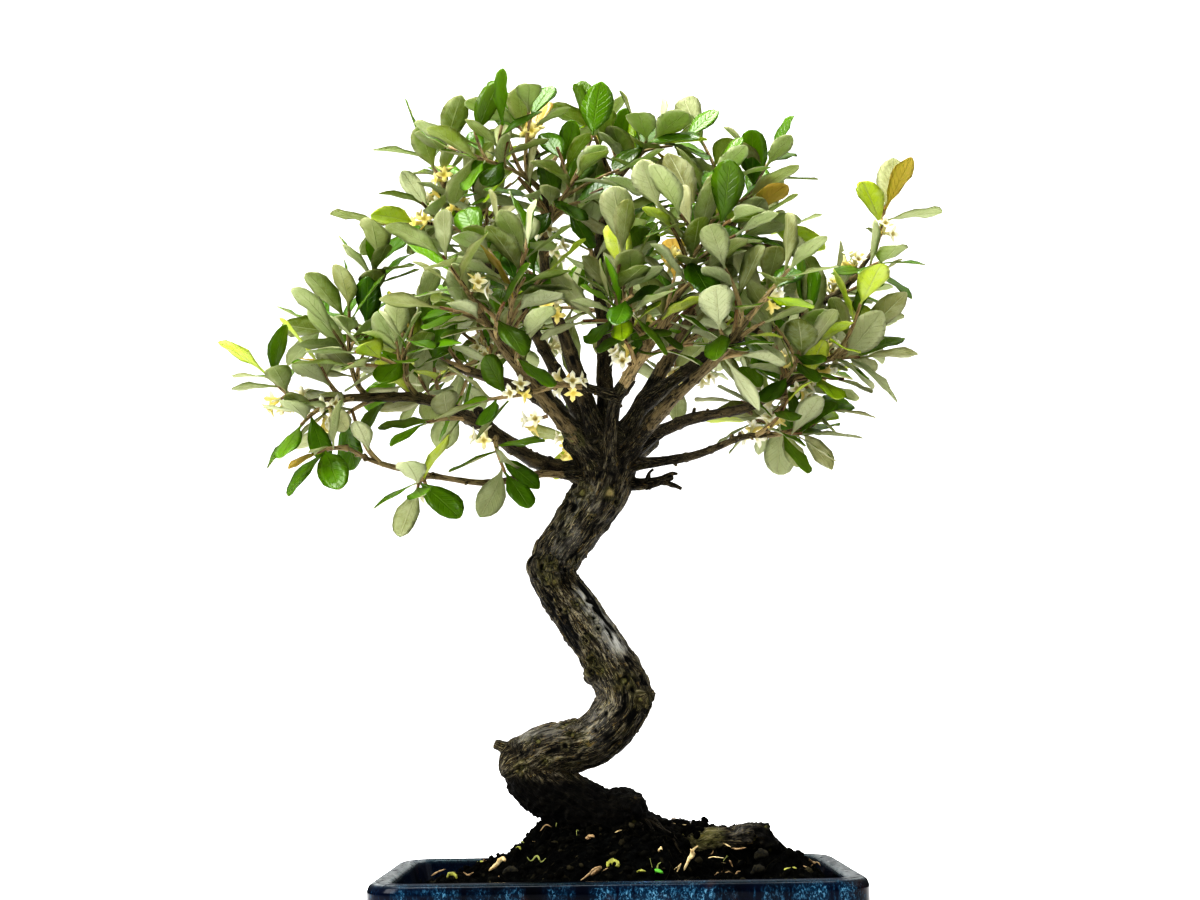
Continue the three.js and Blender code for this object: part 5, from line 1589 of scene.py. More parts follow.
@dataclass(frozen=True)
class Blade:
    """Shape of the leaf blade: a closed thin lens over a folded, drooping and slightly wavy sheet."""

    rows: int = 9
    end: float = 0.962
    stalk: float = 0.10
    stalk_half: float = 0.62
    stalk_thick: float = 1.1
    thick: float = 0.5
    asides: tuple[float, ...] = (-1.0, -0.52, 0.0, 0.52, 1.0)
    fold_round: float = 0.7
    curl: float = 0.16
    ripple: float = 0.10
    base_power: tuple[float, float] = (0.72, 1.15)
    tip_power: tuple[float, float] = (0.44, 0.74)
    steep: float = 0.55
    turned: float = 0.6

    def topology(self) -> tuple[Array, Array, Array]:
        """Corner numbers of one blade.

        Returns:
            The upper fours, the under fours, and the threes that close both ends.
        """
        wide = len(self.asides)
        upper = np.arange(self.rows * wide).reshape(self.rows, wide)
        inner = self.rows * wide + np.arange(self.rows * (wide - 2)).reshape(self.rows, wide - 2)
        under = np.hstack([upper[:, :1], inner, upper[:, -1:]])
        top = np.stack([upper[:-1, :-1], upper[1:, :-1], upper[1:, 1:], upper[:-1, 1:]], axis=-1)
        low = np.stack([under[:-1, :-1], under[:-1, 1:], under[1:, 1:], under[1:, :-1]], axis=-1)
        tip, foot = self.rows * (2 * wide - 2), self.rows * (2 * wide - 2) + 1
        ring = np.hstack([upper, inner[:, ::-1]])
        after = np.roll(ring, -1, axis=1)
        ends = np.concatenate([
            np.stack([np.full(ring.shape[1], tip), after[-1], ring[-1]], axis=1),
            np.stack([np.full(ring.shape[1], foot), ring[0], after[0]], axis=1),
        ])
        return top.reshape(-1, 4), low.reshape(-1, 4), ends

    def add(self, draft: Draft, leaves: Sequence[Leaf], rng: np.random.Generator, fresh: float) -> None:
        """Adds all the leaves of a shoot at once.

        Half width is a power of the share times a power of what is left to the tip; height is the fold
        (rounded at the rib) less the droop times the share squared, less a curl at the margin, plus a ripple
        that grows towards the margin; the under face lies below by the thickness times the root of one less
        the aside squared. Some of the steep leaves are turned over.

        Args:
            draft: Mesh to add to.
            leaves: The leaves.
            rng: Row of random numbers.
            fresh: Share of yellow-green young leaves.
        """
        if not leaves:
            return
        base, axis, face, across = (np.array([getattr(leaf, name) for leaf in leaves])[:, None, None]
                                    for name in ("base", "axis", "face", "across"))
        length, half, droop = (np.array([getattr(leaf, name) for leaf in leaves])[:, None, None]
                               for name in ("length", "half_width", "droop"))
        many = len(leaves)
        chance = rng.random((9, many))[..., None, None]
        even = np.linspace(0, 1, self.rows)
        share = (0.35 * even + 0.65 * (1 - np.cos(even * math.pi)) / 2)[None, :, None] * (self.end * 0.985)
        aside = np.array(self.asides)[None, None, :]
        grown = np.clip((share / self.end - self.stalk) / (1 - self.stalk), 0, 1)
        rise = self.base_power[0] + chance[0] * (self.base_power[1] - self.base_power[0])
        fall = self.tip_power[0] + chance[1] * (self.tip_power[1] - self.tip_power[0])
        best = rise / (rise + fall)
        width = grown ** rise * (1 - grown) ** fall / (best ** rise * (1 - best) ** fall)
        width = np.maximum(width * half, self.stalk_half * (1 - smooth_step(0.75, 1, grown)))
        out = aside * width * (1 + 0.06 * (chance[2] - 0.5) * np.sign(aside))
        fold = Leaf.FOLD * (np.sqrt(out ** 2 + self.fold_round ** 2) - self.fold_round)
        sheet = fold - droop * length * share ** 2
        sheet = sheet - self.curl * chance[3] * width * aside ** 4
        turns = 2 * math.pi * (share * (1.2 + 1.6 * chance[4]) + chance[5] + 0.3 * np.sign(aside))
        sheet = sheet + self.ripple * np.sin(turns) * aside ** 2 * width
        stalky = 1 - smooth_step(0.03, 0.16, share)
        thick = (self.thick + (self.stalk_thick - self.thick) * stalky) * np.sqrt(1 - aside ** 2)
        swing = (chance[6] - 0.5) * 0.16 * length * share ** 2
        spine = base + axis * (length * share)[..., None]
        upper = spine + across * (out + swing)[..., None] + face * sheet[..., None]
        lower = upper[:, :, 1:-1] - face * thick[:, :, 1:-1, None]
        tip_height = -droop * length * self.end ** 2 - self.thick * 0.4
        tip_swing = (chance[6] - 0.5) * 0.16 * length * self.end ** 2
        tip = base + axis * (length * self.end)[..., None]
        tip = tip + across * tip_swing[..., None] + face * tip_height[..., None]
        foot = base - axis * 0.4 - face * (self.stalk_thick * 0.4)
        points = np.concatenate([part.reshape(many, -1, 3) for part in (upper, lower, tip, foot)], axis=1)
        random = np.broadcast_to(chance[7], (many, self.rows, len(self.asides)))
        blade = np.stack([np.broadcast_to(share, random.shape), np.broadcast_to(aside, random.shape), random],
                         axis=-1)
        ends = np.stack([[[self.end, 0.0, 0.0]], [[0.0, 0.0, 0.0]]], axis=1)
        blade = np.concatenate([blade.reshape(many, -1, 3), blade[:, :, 1:-1].reshape(many, -1, 3),
                                np.broadcast_to(ends, (many, 2, 3))], axis=1)
        young = np.where(rng.random(many) < fresh, 0.95, rng.random(many) * 0.84)
        tone = np.stack([chance[7, :, 0, 0], young, chance[8, :, 0, 0]], axis=1)[:, None]
        turned = (face[:, 0, 0, 2] < self.steep) & (rng.random(many) < self.turned)
        for chosen, finishes in ((~turned, (0, 1, 1)), (turned, (1, 0, 0))):
            start = np.arange(chosen.sum())[:, None, None] * points.shape[1]
            groups = [(group + start).reshape(-1, group.shape[1]) for group in self.topology()]
            if chosen.any():
                draft.add(points[chosen], groups, finishes, blade=blade[chosen].reshape(-1, 3),
                          tone=np.broadcast_to(tone, points.shape)[chosen].reshape(-1, 3))


@dataclass
class Foliage:
    """Leafy shoots: those of the model, and the inner ones among them."""

    upper: LeafFinish = UPPER_LEAF
    under: LeafFinish = UNDER_LEAF
    twig: TwigFinish = TwigFinish()
    blade: Blade = Blade()
    stem_overlap: float = 0.012
    stem_step: float = 1.6
    stem_sides: int = 8
    fresh: float = 0.07
    inner_count: int = 300
    inner_seed: int = 7301
    inner_keep: float = 0.50
    inner_leaf_keep: float = 2.5
    inner_length: tuple[float, float] = (16, 34)
    inner_woody: float = 0.12
    inner_tries: int = 12
    inner_margin: float = 12
    inner_owner: int = 1000
    least_leaves: int = 2
    inner_stations: tuple[float, ...] = (0.22, 0.48, 0.74, 1.0)
    inner_groups: int = 6
    inner_least_height: float = 296
    inner_out: float = 66
    outline: tuple[tuple[float, float], ...] = (
        (-158, 318), (-134, 368), (-112, 400), (-96, 446), (-30, 452), (40, 450), (92, 418), (104, 392),
        (128, 376), (148, 346), (138, 300), (108, 268), (70, 276), (34, 300), (-36, 306), (-66, 272),
        (-116, 262), (-158, 274),
    )
    outline_inset: float = 0.93
    depth: float = 122

    def __post_init__(self) -> None:
        """Makes the finishes that all the shoots share."""
        self.materials = [self.upper.material(), self.under.material(), self.twig.material()]

    def add_stem(self, draft: Draft, route: Array, low: float, number: int) -> None:
        """Adds the leafy part of a shoot's stem."""
        sweep = sweep_route(route, low, 1, self.stem_step, self.stem_sides)
        grain = sweep.grain(1.2) + number * 31.0
        relief = Roughness(number).at(grain, (1.6, 1.6, 5)) * 0.12
        points, faces = sweep.skin(relief)
        age = np.broadcast_to(np.linspace(0.7, 1.0, len(sweep.centres))[:, None], relief.shape)
        bark = np.stack([relief, age, np.full(relief.shape, (number * 0.41) % 1)], axis=-1)
        draft.add(points, faces, 2, grain=sweep.ended(grain), bark=sweep.ended(bark))

    def build_sprays(self, growth: Growth) -> list[bpy.types.Object]:
        """Makes the model's leafy shoots, one piece each."""
        made = []
        for number, (route, leaves) in enumerate(zip(growth.shoots, growth.sprays())):
            draft = Draft("blade", "tone", "grain", "bark")
            self.add_stem(draft, route, growth.habit.woody_share - self.stem_overlap, number)
            self.blade.add(draft, leaves, np.random.default_rng(500 + number), self.fresh)
            piece = draft.piece(f"shoot_{number + 1:02d}", self.materials, "leaf")
            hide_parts(f"spray_{number + 1:02d}")
            made.append(piece)
        return made

    def inner_routes(self, growth: Growth, low: Array, high: Array) -> list[Array]:
        """Routes of the inner shoots: they leave limbs and branchlets sideways and bend up and outward.

        Args:
            growth: The growth so far.
            low: Lowest corner of the room for tips.
            high: Highest corner of the room for tips.

        Returns:
            The routes.
        """
        rng = np.random.default_rng(self.inner_seed)
        hosts = [(route, 0.34, 0.97) for route in LIMBS.values()]
        hosts += [(route, 0.15, 0.9) for route in growth.shoots]
        routes = []
        while len(routes) < self.inner_count:
            route, first, last = hosts[int(rng.integers(len(hosts)))]
            share = first + (last - first) * rng.random()
            spot = along(route, share)
            if spot[2] < self.inner_least_height and abs(spot[0]) < self.inner_out:
                continue
            forward = heading(route, share)
            sideways = around(forward, rng.random() * 2 * math.pi)
            outward = unit(spot[:3] - np.array([-2.0, 0.0, 262.0]))
            aim = unit(sideways + forward * 0.5 + outward * 0.35 + UP * 0.30)
            tip = spot[:3] + aim * (self.inner_length[0] + rng.random() * np.ptp(self.inner_length))
            if (tip > low).all() and (tip < high).all() and self.is_in_crown(tip):
                routes.append(growth.shoot_route(route, share, tip))
        return routes

    def is_in_crown(self, tip: Array) -> bool:
        """Whether a tip lies in the crown's outline, which narrows towards the front and the back."""
        edge = np.array(self.outline)
        middle = edge.mean(axis=0)
        narrow = self.outline_inset * math.sqrt(max(1 - (tip[1] / self.depth) ** 2, 0.01))
        spot = middle + (tip[[0, 2]] - middle) / narrow
        after = np.roll(edge, -1, axis=0)
        crosses = (edge[:, 1] > spot[1]) != (after[:, 1] > spot[1])
        run, rise = (after - edge).T
        where = edge[:, 0] + (spot[1] - edge[:, 1]) / (rise + 1e-9) * run
        return bool((crosses & (spot[0] < where)).sum() % 2)

    def build_inner(self, growth: Growth, low: Array, high: Array) -> list[bpy.types.Object]:
        """Makes the inner shoots in a few pieces.

        Args:
            growth: The growth so far; its distances are eased, as these leaves may touch.
            low: Lowest corner of the model's box.
            high: Highest corner of the model's box.

        Returns:
            The pieces.
        """
        growth.keeps[:growth.used] *= self.inner_keep
        growth.leaf_keep = self.inner_leaf_keep
        routes = self.inner_routes(growth, low + self.inner_margin, high - self.inner_margin)
        drafts = [Draft("blade", "tone", "grain", "bark") for _ in range(self.inner_groups)]
        total = 0
        for number, route in enumerate(routes):
            draws = Draws(self.inner_seed + 613 * number)
            owner = self.inner_owner + number
            found = growth.grow_leaves(route, owner, draws, self.inner_woody, self.inner_stations,
                                       self.inner_tries)
            kept = [leaf for leaf in found if self.is_inside(leaf, low, high)]
            if len(kept) < self.least_leaves:
                continue
            growth.note_route(route, 0, 1, owner)
            group = drafts[number % self.inner_groups]
            self.add_stem(group, route, 0, number + 100)
            self.blade.add(group, kept, np.random.default_rng(9000 + number), self.fresh)
            total += len(kept)
        log.info("inner leaves: %d", total)
        return [draft.piece(f"inner_shoots_{number + 1}", self.materials, "leaf")
                for number, draft in enumerate(drafts)]

    def is_inside(self, leaf: Leaf, low: Array, high: Array) -> bool:
        """Whether a leaf stays in the model's box."""
        shares = np.repeat([0.4, 0.7, 1.0], 3)
        samples = leaf.point(shares, np.tile([-1.0, 0.0, 1.0], 3) * leaf.half_width)
        return bool((samples > low).all() and (samples < high).all())


@dataclass
class Blossoms:
    """Small cream flowers with four pointed lobes, in clusters on short spurs."""

    finish: PetalFinish = PetalFinish()
    twig: TwigFinish = TwigFinish()
    length: float = 7.5
    reach: float = 4.8
    notch: float = 1.7
    lift: float = 1.0
    throat: float = 1.4
    throat_share: float = 0.7
    mouth_share: float = 0.86
    heart_share: float = 0.8
    thick: float = 0.4
    lobes: int = 4
    spur_radius: float = 0.85
    ahead_lean: float = 0.35
    side_lean: float = 0.84
    side_share: float = 0.65
    extra_seed: int = 8123
    extra: int = 46
    extra_groups: int = 3

    def __post_init__(self) -> None:
        """Makes the finishes that all the clusters share."""
        self.materials = [self.finish.material(), self.twig.material()]

    def add_flower(self, draft: Draft, root: Array, aim: Array, size: float, open_share: float,
                   chance: float) -> None:
        """Adds one flower: rings up the tube to the lobes and back down inside.

        The rim's radius runs from the notch to the reach by a power of the cosine of the lobe's angle, which
        points the lobes; a bud keeps its rim drawn in.

        Args:
            draft: Mesh to add to.
            root: Where it starts.
            aim: The way it faces.
            size: Its size over the usual.
            open_share: 1 for an open flower, 0 for a bud.
            chance: Random number that ages it.
        """
        side = square_to(aim)
        other = np.cross(aim, side)
        segments = 4 * self.lobes
        angle = np.arange(segments) * 2 * math.pi / segments
        lobe = np.abs(np.cos(angle * self.lobes / 2))
        spread = self.notch + (self.reach - self.notch) * lobe ** 1.7
        spread = spread * open_share + 0.9 * (1 - open_share)
        rim = self.mouth_share * self.length + self.lift * lobe * open_share + (1 - open_share) * 1.1
        one = np.ones(segments)
        rows = (
            (0.0, 0.55 * one, 0.0), (0.16, 0.95 * one, 0.1), (0.3, 0.62 * one, 0.25),
            (self.throat_share, self.throat * (0.55 + 0.45 * open_share) * one, 0.6),
        )
        heights = [share * self.length * one for share, _, _ in rows]
        radii = [radius for _, radius, _ in rows]
        marks = [(mark, 0.0) for _, _, mark in rows]
        heights += [rim, rim + self.thick * 0.5,
                    self.heart_share * self.length + 0.5 * open_share + (1 - open_share) * 1.2 * one]
        radii += [spread, spread * 0.97, (self.throat * 0.85 * open_share + 0.4 * (1 - open_share)) * one]
        marks += [(1.0, 0.0), (1.0, 1.0), (0.5, 1.0)]
        high, wide = np.array(heights) * size, np.array(radii) * size
        rings = root + high[..., None] * aim + wide[..., None] * (
            np.cos(angle)[None, :, None] * side + np.sin(angle)[None, :, None] * other)
        ends = np.stack([root, root + aim * self.length * (self.heart_share - 0.12) * size])
        points = np.concatenate([rings.reshape(-1, 3), ends])
        rings_marks = np.array([(out, inside, chance) for out, inside in marks])
        petal = np.concatenate([np.repeat(rings_marks, segments, axis=0), [(0, 0, chance), (0.3, 1, chance)]])
        draft.add(points, rings_to_faces(len(high), segments), 0, petal=petal)

    def add_cluster(self, draft: Draft, spur: Cluster, sizes: Sequence[float]) -> None:
        """Adds a spur with two flowers as the model sets them, and buds or more flowers by it.

        Args:
            draft: Mesh to add to.
            spur: Where the cluster is.
            sizes: Sizes of the further flowers; one under 0.75 is a bud.
        """
        turn = spur.draws() * 2 * math.pi
        lean = around(spur.aim, turn)
        fork = spur.root + spur.aim * 4
        stalk = Sweep(np.stack([spur.root - spur.aim * 1.5, spur.root + spur.aim * 1.5, fork]),
                      np.array([1.0, self.spur_radius, 0.6]), 8)
        points, faces = stalk.skin()
        age = np.tile([0.0, 0.9, 0.4], (len(points), 1))
        draft.add(points, faces, 1, bark=age, grain=points)
        self.add_flower(draft, fork, unit(spur.aim - lean * self.ahead_lean), 1.0, 1.0, spur.draws())
        beside = spur.root + spur.aim * 4 * self.side_share
        self.add_flower(draft, beside, unit(spur.aim + lean * self.side_lean), 1.0, 1.0, spur.draws())
        for number, size in enumerate(sizes):
            lean = around(spur.aim, turn + 1.9 + number * 2.1)
            aim = unit(spur.aim * (0.5 + 0.3 * number) + lean)
            self.add_flower(draft, beside, aim, size, 0.0 if size < 0.75 else 1.0, spur.draws())

    def build(self, clusters: Sequence[Cluster]) -> list[bpy.types.Object]:
        """Makes the model's clusters, one piece each."""
        made = []
        for number, spur in enumerate(clusters):
            draft = Draft("petal", "bark", "grain")
            self.add_cluster(draft, spur, (0.85, 0.6))
            piece = draft.piece(f"blossom_{number + 1:02d}", self.materials, "petal")
            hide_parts(f"flowers_{number + 1:02d}")
            made.append(piece)
        return made

    def build_extra(self, growth: Growth) -> list[bpy.types.Object]:
        """Makes further clusters on limbs and branchlets, in a few pieces."""
        rng = np.random.default_rng(self.extra_seed)
        hosts = [(route, 0.3, 0.98) for route in LIMBS.values()]
        hosts += [(route, 0.05, 0.6) for route in growth.shoots]
        drafts = [Draft("petal", "bark", "grain") for _ in range(self.extra_groups)]
        found = 0
        for _ in range(self.extra * 12):
            route, low, high = hosts[int(rng.integers(len(hosts)))]
            share = low + (high - low) * rng.random()
            spur = growth.spur_on(route, share, Draws(int(rng.integers(1, 10 ** 8))))
            if spur is None:
                continue
            sizes = (0.95, 0.9, 0.85, 0.6) if rng.random() < 0.5 else (0.95, 0.7)
            self.add_cluster(drafts[found % self.extra_groups], spur, sizes)
            found += 1
            if found == self.extra:
                break
        log.info("further clusters: %d", found)
        return [draft.piece(f"more_blossoms_{number + 1}", self.materials, "petal")
                for number, draft in enumerate(drafts)]


# Pot and soil


def rounded_rings(half_x: Array, half_y: Array, corner: Array, counts: tuple[int, int, int]) -> Array:
    """Rounded rectangles, one for each row of sizes, turning left seen from above.

    Each corner is an arc about its own centre; the straights between are split evenly.

    Args:
        half_x: Half widths.
        half_y: Half depths.
        corner: Corner radii.
        counts: Points on a corner, on a depth side and on a width side.

    Returns:
        x and y of every ring's points.
    """
    on_corner, on_depth, on_width = counts
    rows = len(half_x)
    signs = np.array([(1, 1), (-1, 1), (-1, -1), (1, -1)])
    angles = np.arange(4)[:, None] * math.pi / 2 + np.linspace(0, math.pi / 2, on_corner)[None, :]
    middle = np.stack([half_x - corner, half_y - corner], axis=1)[:, None, :] * signs[None]
    arcs = np.stack([np.cos(angles), np.sin(angles)], axis=-1)
    arcs = middle[:, :, None] + corner[:, None, None, None] * arcs[None]
    ring = []
    for side in range(4):
        ring.append(arcs[:, side])
        between = on_width if side % 2 == 0 else on_depth
        share = (np.arange(1, between) / between)[None, :, None]
        start, stop = arcs[:, side, -1:], arcs[:, (side + 1) % 4, :1]
        ring.append(start + (stop - start) * share)
    return np.concatenate(ring, axis=1).reshape(rows, -1, 2)


def lifted(rings: Array, heights: Array) -> Array:
    """Rings of x and y with a height for each ring."""
    return np.concatenate([rings, np.broadcast_to(heights[:, None, None], (*rings.shape[:2], 1))], axis=2)


@dataclass
class Pot:
    """Glazed tray: tapered walls under a thick lip, four feet and two drainage holes."""

    finish: GlazeFinish = GlazeFinish()
    half_length: float = 115
    half_depth: float = 84
    corner: float = 20
    corner_tightening: float = 0.45
    inner_corner: float = 12
    outside: tuple[tuple[float, float], ...] = (
        (24, 6), (21, 9), (10, 43), (7, 45), (1.4, 46.6), (0, 49), (0, 58), (1.2, 61), (4, 62),
    )
    inside: tuple[tuple[float, float], ...] = ((8.6, 62), (10.4, 61.2), (11, 59.6), (23, 16), (26, 14))
    round_off: float = 1.1
    counts: tuple[int, int, int] = (14, 34, 48)
    foot_half: tuple[float, float] = (17, 12)
    foot_place: tuple[float, float] = (70, 44)
    foot_height: float = 8
    drain_radius: float = 7
    drain_place: float = 48

    def profile(self) -> Array:
        """Insets and heights up the outside, over the lip and down to the floor, with the corners eased."""
        corners = np.array(self.outside + self.inside, float)
        steps = np.concatenate([[0], np.cumsum(np.linalg.norm(np.diff(corners, axis=0), axis=1))])
        fine = np.arange(0, steps[-1], 0.25)
        lines = np.stack([np.interp(fine, steps, corners[:, k]) for k in (0, 1)], axis=1)
        half = int(self.round_off / 0.25)
        kernel = np.ones(2 * half + 1) / (2 * half + 1)
        padded = np.concatenate([np.repeat(lines[:1], half, 0), lines, np.repeat(lines[-1:], half, 0)])
        eased = np.stack([np.convolve(padded[:, k], kernel, "valid") for k in (0, 1)], axis=1)
        bend = np.abs(np.gradient(np.unwrap(np.arctan2(*np.gradient(eased, axis=0).T))))
        weight = np.cumsum(0.06 + bend * 3.2)
        picks = np.searchsorted(weight, np.arange(weight[0], weight[-1], 0.34))
        return eased[np.unique(np.append(picks, len(eased) - 1))]

    def build(self) -> bpy.types.Object:
        """Makes the piece: the wall, and the bottom and floor as shrinking rings; feet; cut drains."""
        wall = self.profile()
        flat = np.linspace(0, 1, 9)[1:]
        under = np.stack([wall[0, 0] + (self.half_depth - 2 - wall[0, 0]) * flat[::-1],
                          np.full(8, wall[0, 1])], axis=1)
        floor = np.stack([wall[-1, 0] + (self.half_depth - 2 - wall[-1, 0]) * flat,
                          np.full(8, wall[-1, 1])], axis=1)
        path = np.concatenate([under, wall, floor])
        inset, height = path.T
        lip = len(under) + int(np.argmax(wall[:, 1] > 61.4))
        inner = smooth_step(lip, lip + 6, np.arange(len(path)).astype(float))
        corner = (self.corner - self.corner_tightening * inset) * (1 - inner) + self.inner_corner * inner
        half_y = self.half_depth - inset
        corner = np.clip(corner, 0.8, np.maximum(half_y - 0.5, 0.8))
        rings = rounded_rings(self.half_length - inset, half_y, corner, self.counts)
        points = lifted(rings, height)
        waves = Roughness(77).at(points, (17, 17, 9)) * 0.16 + Roughness(78).at(points, (5, 5, 7)) * 0.05
        on_wall = ((height > 9) & (np.arange(len(path)) < len(path) - 10))[:, None]
        away = unit(points * np.array([1, 1, 0]))
        points = points - away * np.where(on_wall, 0.22 + waves, 0)[..., None]
        edge = np.exp(-((inset - 9.6) / 1.0) ** 2) * (height > 60)
        edge = edge + 0.8 * np.exp(-((height - 47) / 0.9) ** 2) * (inset < 2)
        edge = edge + 0.35 * np.exp(-((inset - 2.6) / 1.4) ** 2) * (height > 60)
        bare = np.maximum(smooth_step(9, 7, height), inner * smooth_step(48, 44, height))
        outward = smooth_step(9, 5, inset) * (1 - inner) + (inset >= 7) * (1 - inner) * (height < 46)
        mark = np.stack([edge, bare, np.clip(outward, 0, 1)], axis=1)
        mark = np.repeat(mark, rings.shape[1], axis=0)
        top = smooth_step(1.2, 3.0, inset) * smooth_step(11, 10, inset) * smooth_step(60, 61, height)
        dust = top[:, None] * smooth_step(98, 106, np.abs(points[..., 0]))
        low = np.broadcast_to((0.25 + 0.75 * smooth_step(60.5, 57.5, height))[:, None], dust.shape)
        wear = np.stack([dust, low, low * 0], axis=-1).reshape(-1, 3)
        ends = np.array([(0, 0, height[0]), (0, 0, height[-1])])
        draft = Draft("glaze", "wear")
        draft.add(np.concatenate([points.reshape(-1, 3), ends]), rings_to_faces(len(path), rings.shape[1]),
                  glaze=np.concatenate([mark, [(0, 1, 0), (0, 1, 0)]]),
                  wear=np.concatenate([wear, np.zeros((2, 3))]))
        for x, y in product((-1, 1), repeat=2):
            self.add_foot(draft, x * self.foot_place[0], y * self.foot_place[1])
        made = draft.piece("tray", [self.finish.material()], "glaze")
        self.cut_drains(made)
        self.mark_again(made, draft)
        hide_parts("pot")
        return made

    def add_foot(self, draft: Draft, x: float, y: float) -> None:
        """Adds one foot: a rounded block, drawn in and eased at the bottom."""
        rise = np.array([0, 0.15, 0.6, 1.6, 4, self.foot_height])
        inset = np.array([3.4, 2.6, 2.0, 1.6, 0.9, 0])
        half_x, half_y = (half - inset for half in self.foot_half)
        rings = rounded_rings(half_x, half_y, np.full(6, 4.5), (6, 5, 7)) + np.array([x, y])
        points = lifted(rings, rise)
        ends = np.array([(x, y, rise[0]), (x, y, rise[-1])])
        bare = np.repeat(smooth_step(3.0, 1.0, rise), rings.shape[1])
        mark = np.stack([bare * 0, bare, bare * 0 + 1], axis=1)
        draft.add(np.concatenate([points.reshape(-1, 3), ends]), rings_to_faces(6, rings.shape[1]),
                  glaze=np.concatenate([mark, [(0, 1, 0), (0, 0, 1)]]), wear=np.array([0.0, 1.0, 0.0]))

    def mark_again(self, pot: bpy.types.Object, draft: Draft) -> None:
        """Gives the cut pot's points the marks of the nearest points before, as the boolean drops them."""
        before = (np.concatenate(draft.points) + Draft.origin) * MM
        tree = KDTree(len(before))
        for number, place in enumerate(before.tolist()):
            tree.insert(place, number)
        tree.balance()
        nearest = [tree.find(vertex.co)[1] for vertex in pot.data.vertices]
        for name, rows in draft.marks.items():
            old = pot.data.attributes.get(name)
            if old:
                pot.data.attributes.remove(old)
            layer = pot.data.attributes.new(name, "FLOAT_VECTOR", "POINT")
            layer.data.foreach_set("vector", np.concatenate(rows)[nearest].astype(np.float32).ravel())

    def cut_drains(self, pot: bpy.types.Object) -> None:
        """Cuts the two drainage holes through the floor with a boolean."""
        cutter = Draft()
        for side in (-1, 1):
            spot = np.array([side * self.drain_place, 0.0, 0.0])
            tube = Sweep(spot + np.outer([2.0, 10.0, 18.0], UP), np.full(3, self.drain_radius), 36)
            cutter.add(*tube.skin())
        mesh = bpy.data.meshes.new("drains")
        places = (np.concatenate(cutter.points) + Draft.origin) * MM
        mesh.from_pydata(places, [], [tuple(row) for group in cutter.faces for row in group.tolist()])
        plug = in_scene("drains", mesh)
        cut = pot.modifiers.new("drains", "BOOLEAN")
        cut.operation, cut.solver, cut.object = "DIFFERENCE", "EXACT", plug
        bpy.context.view_layer.update()
        result = bpy.data.meshes.new_from_object(pot.evaluated_get(bpy.context.evaluated_depsgraph_get()))
        pot.modifiers.clear()
        pot.data = result
        bpy.data.objects.remove(plug)
        bpy.data.meshes.remove(mesh)


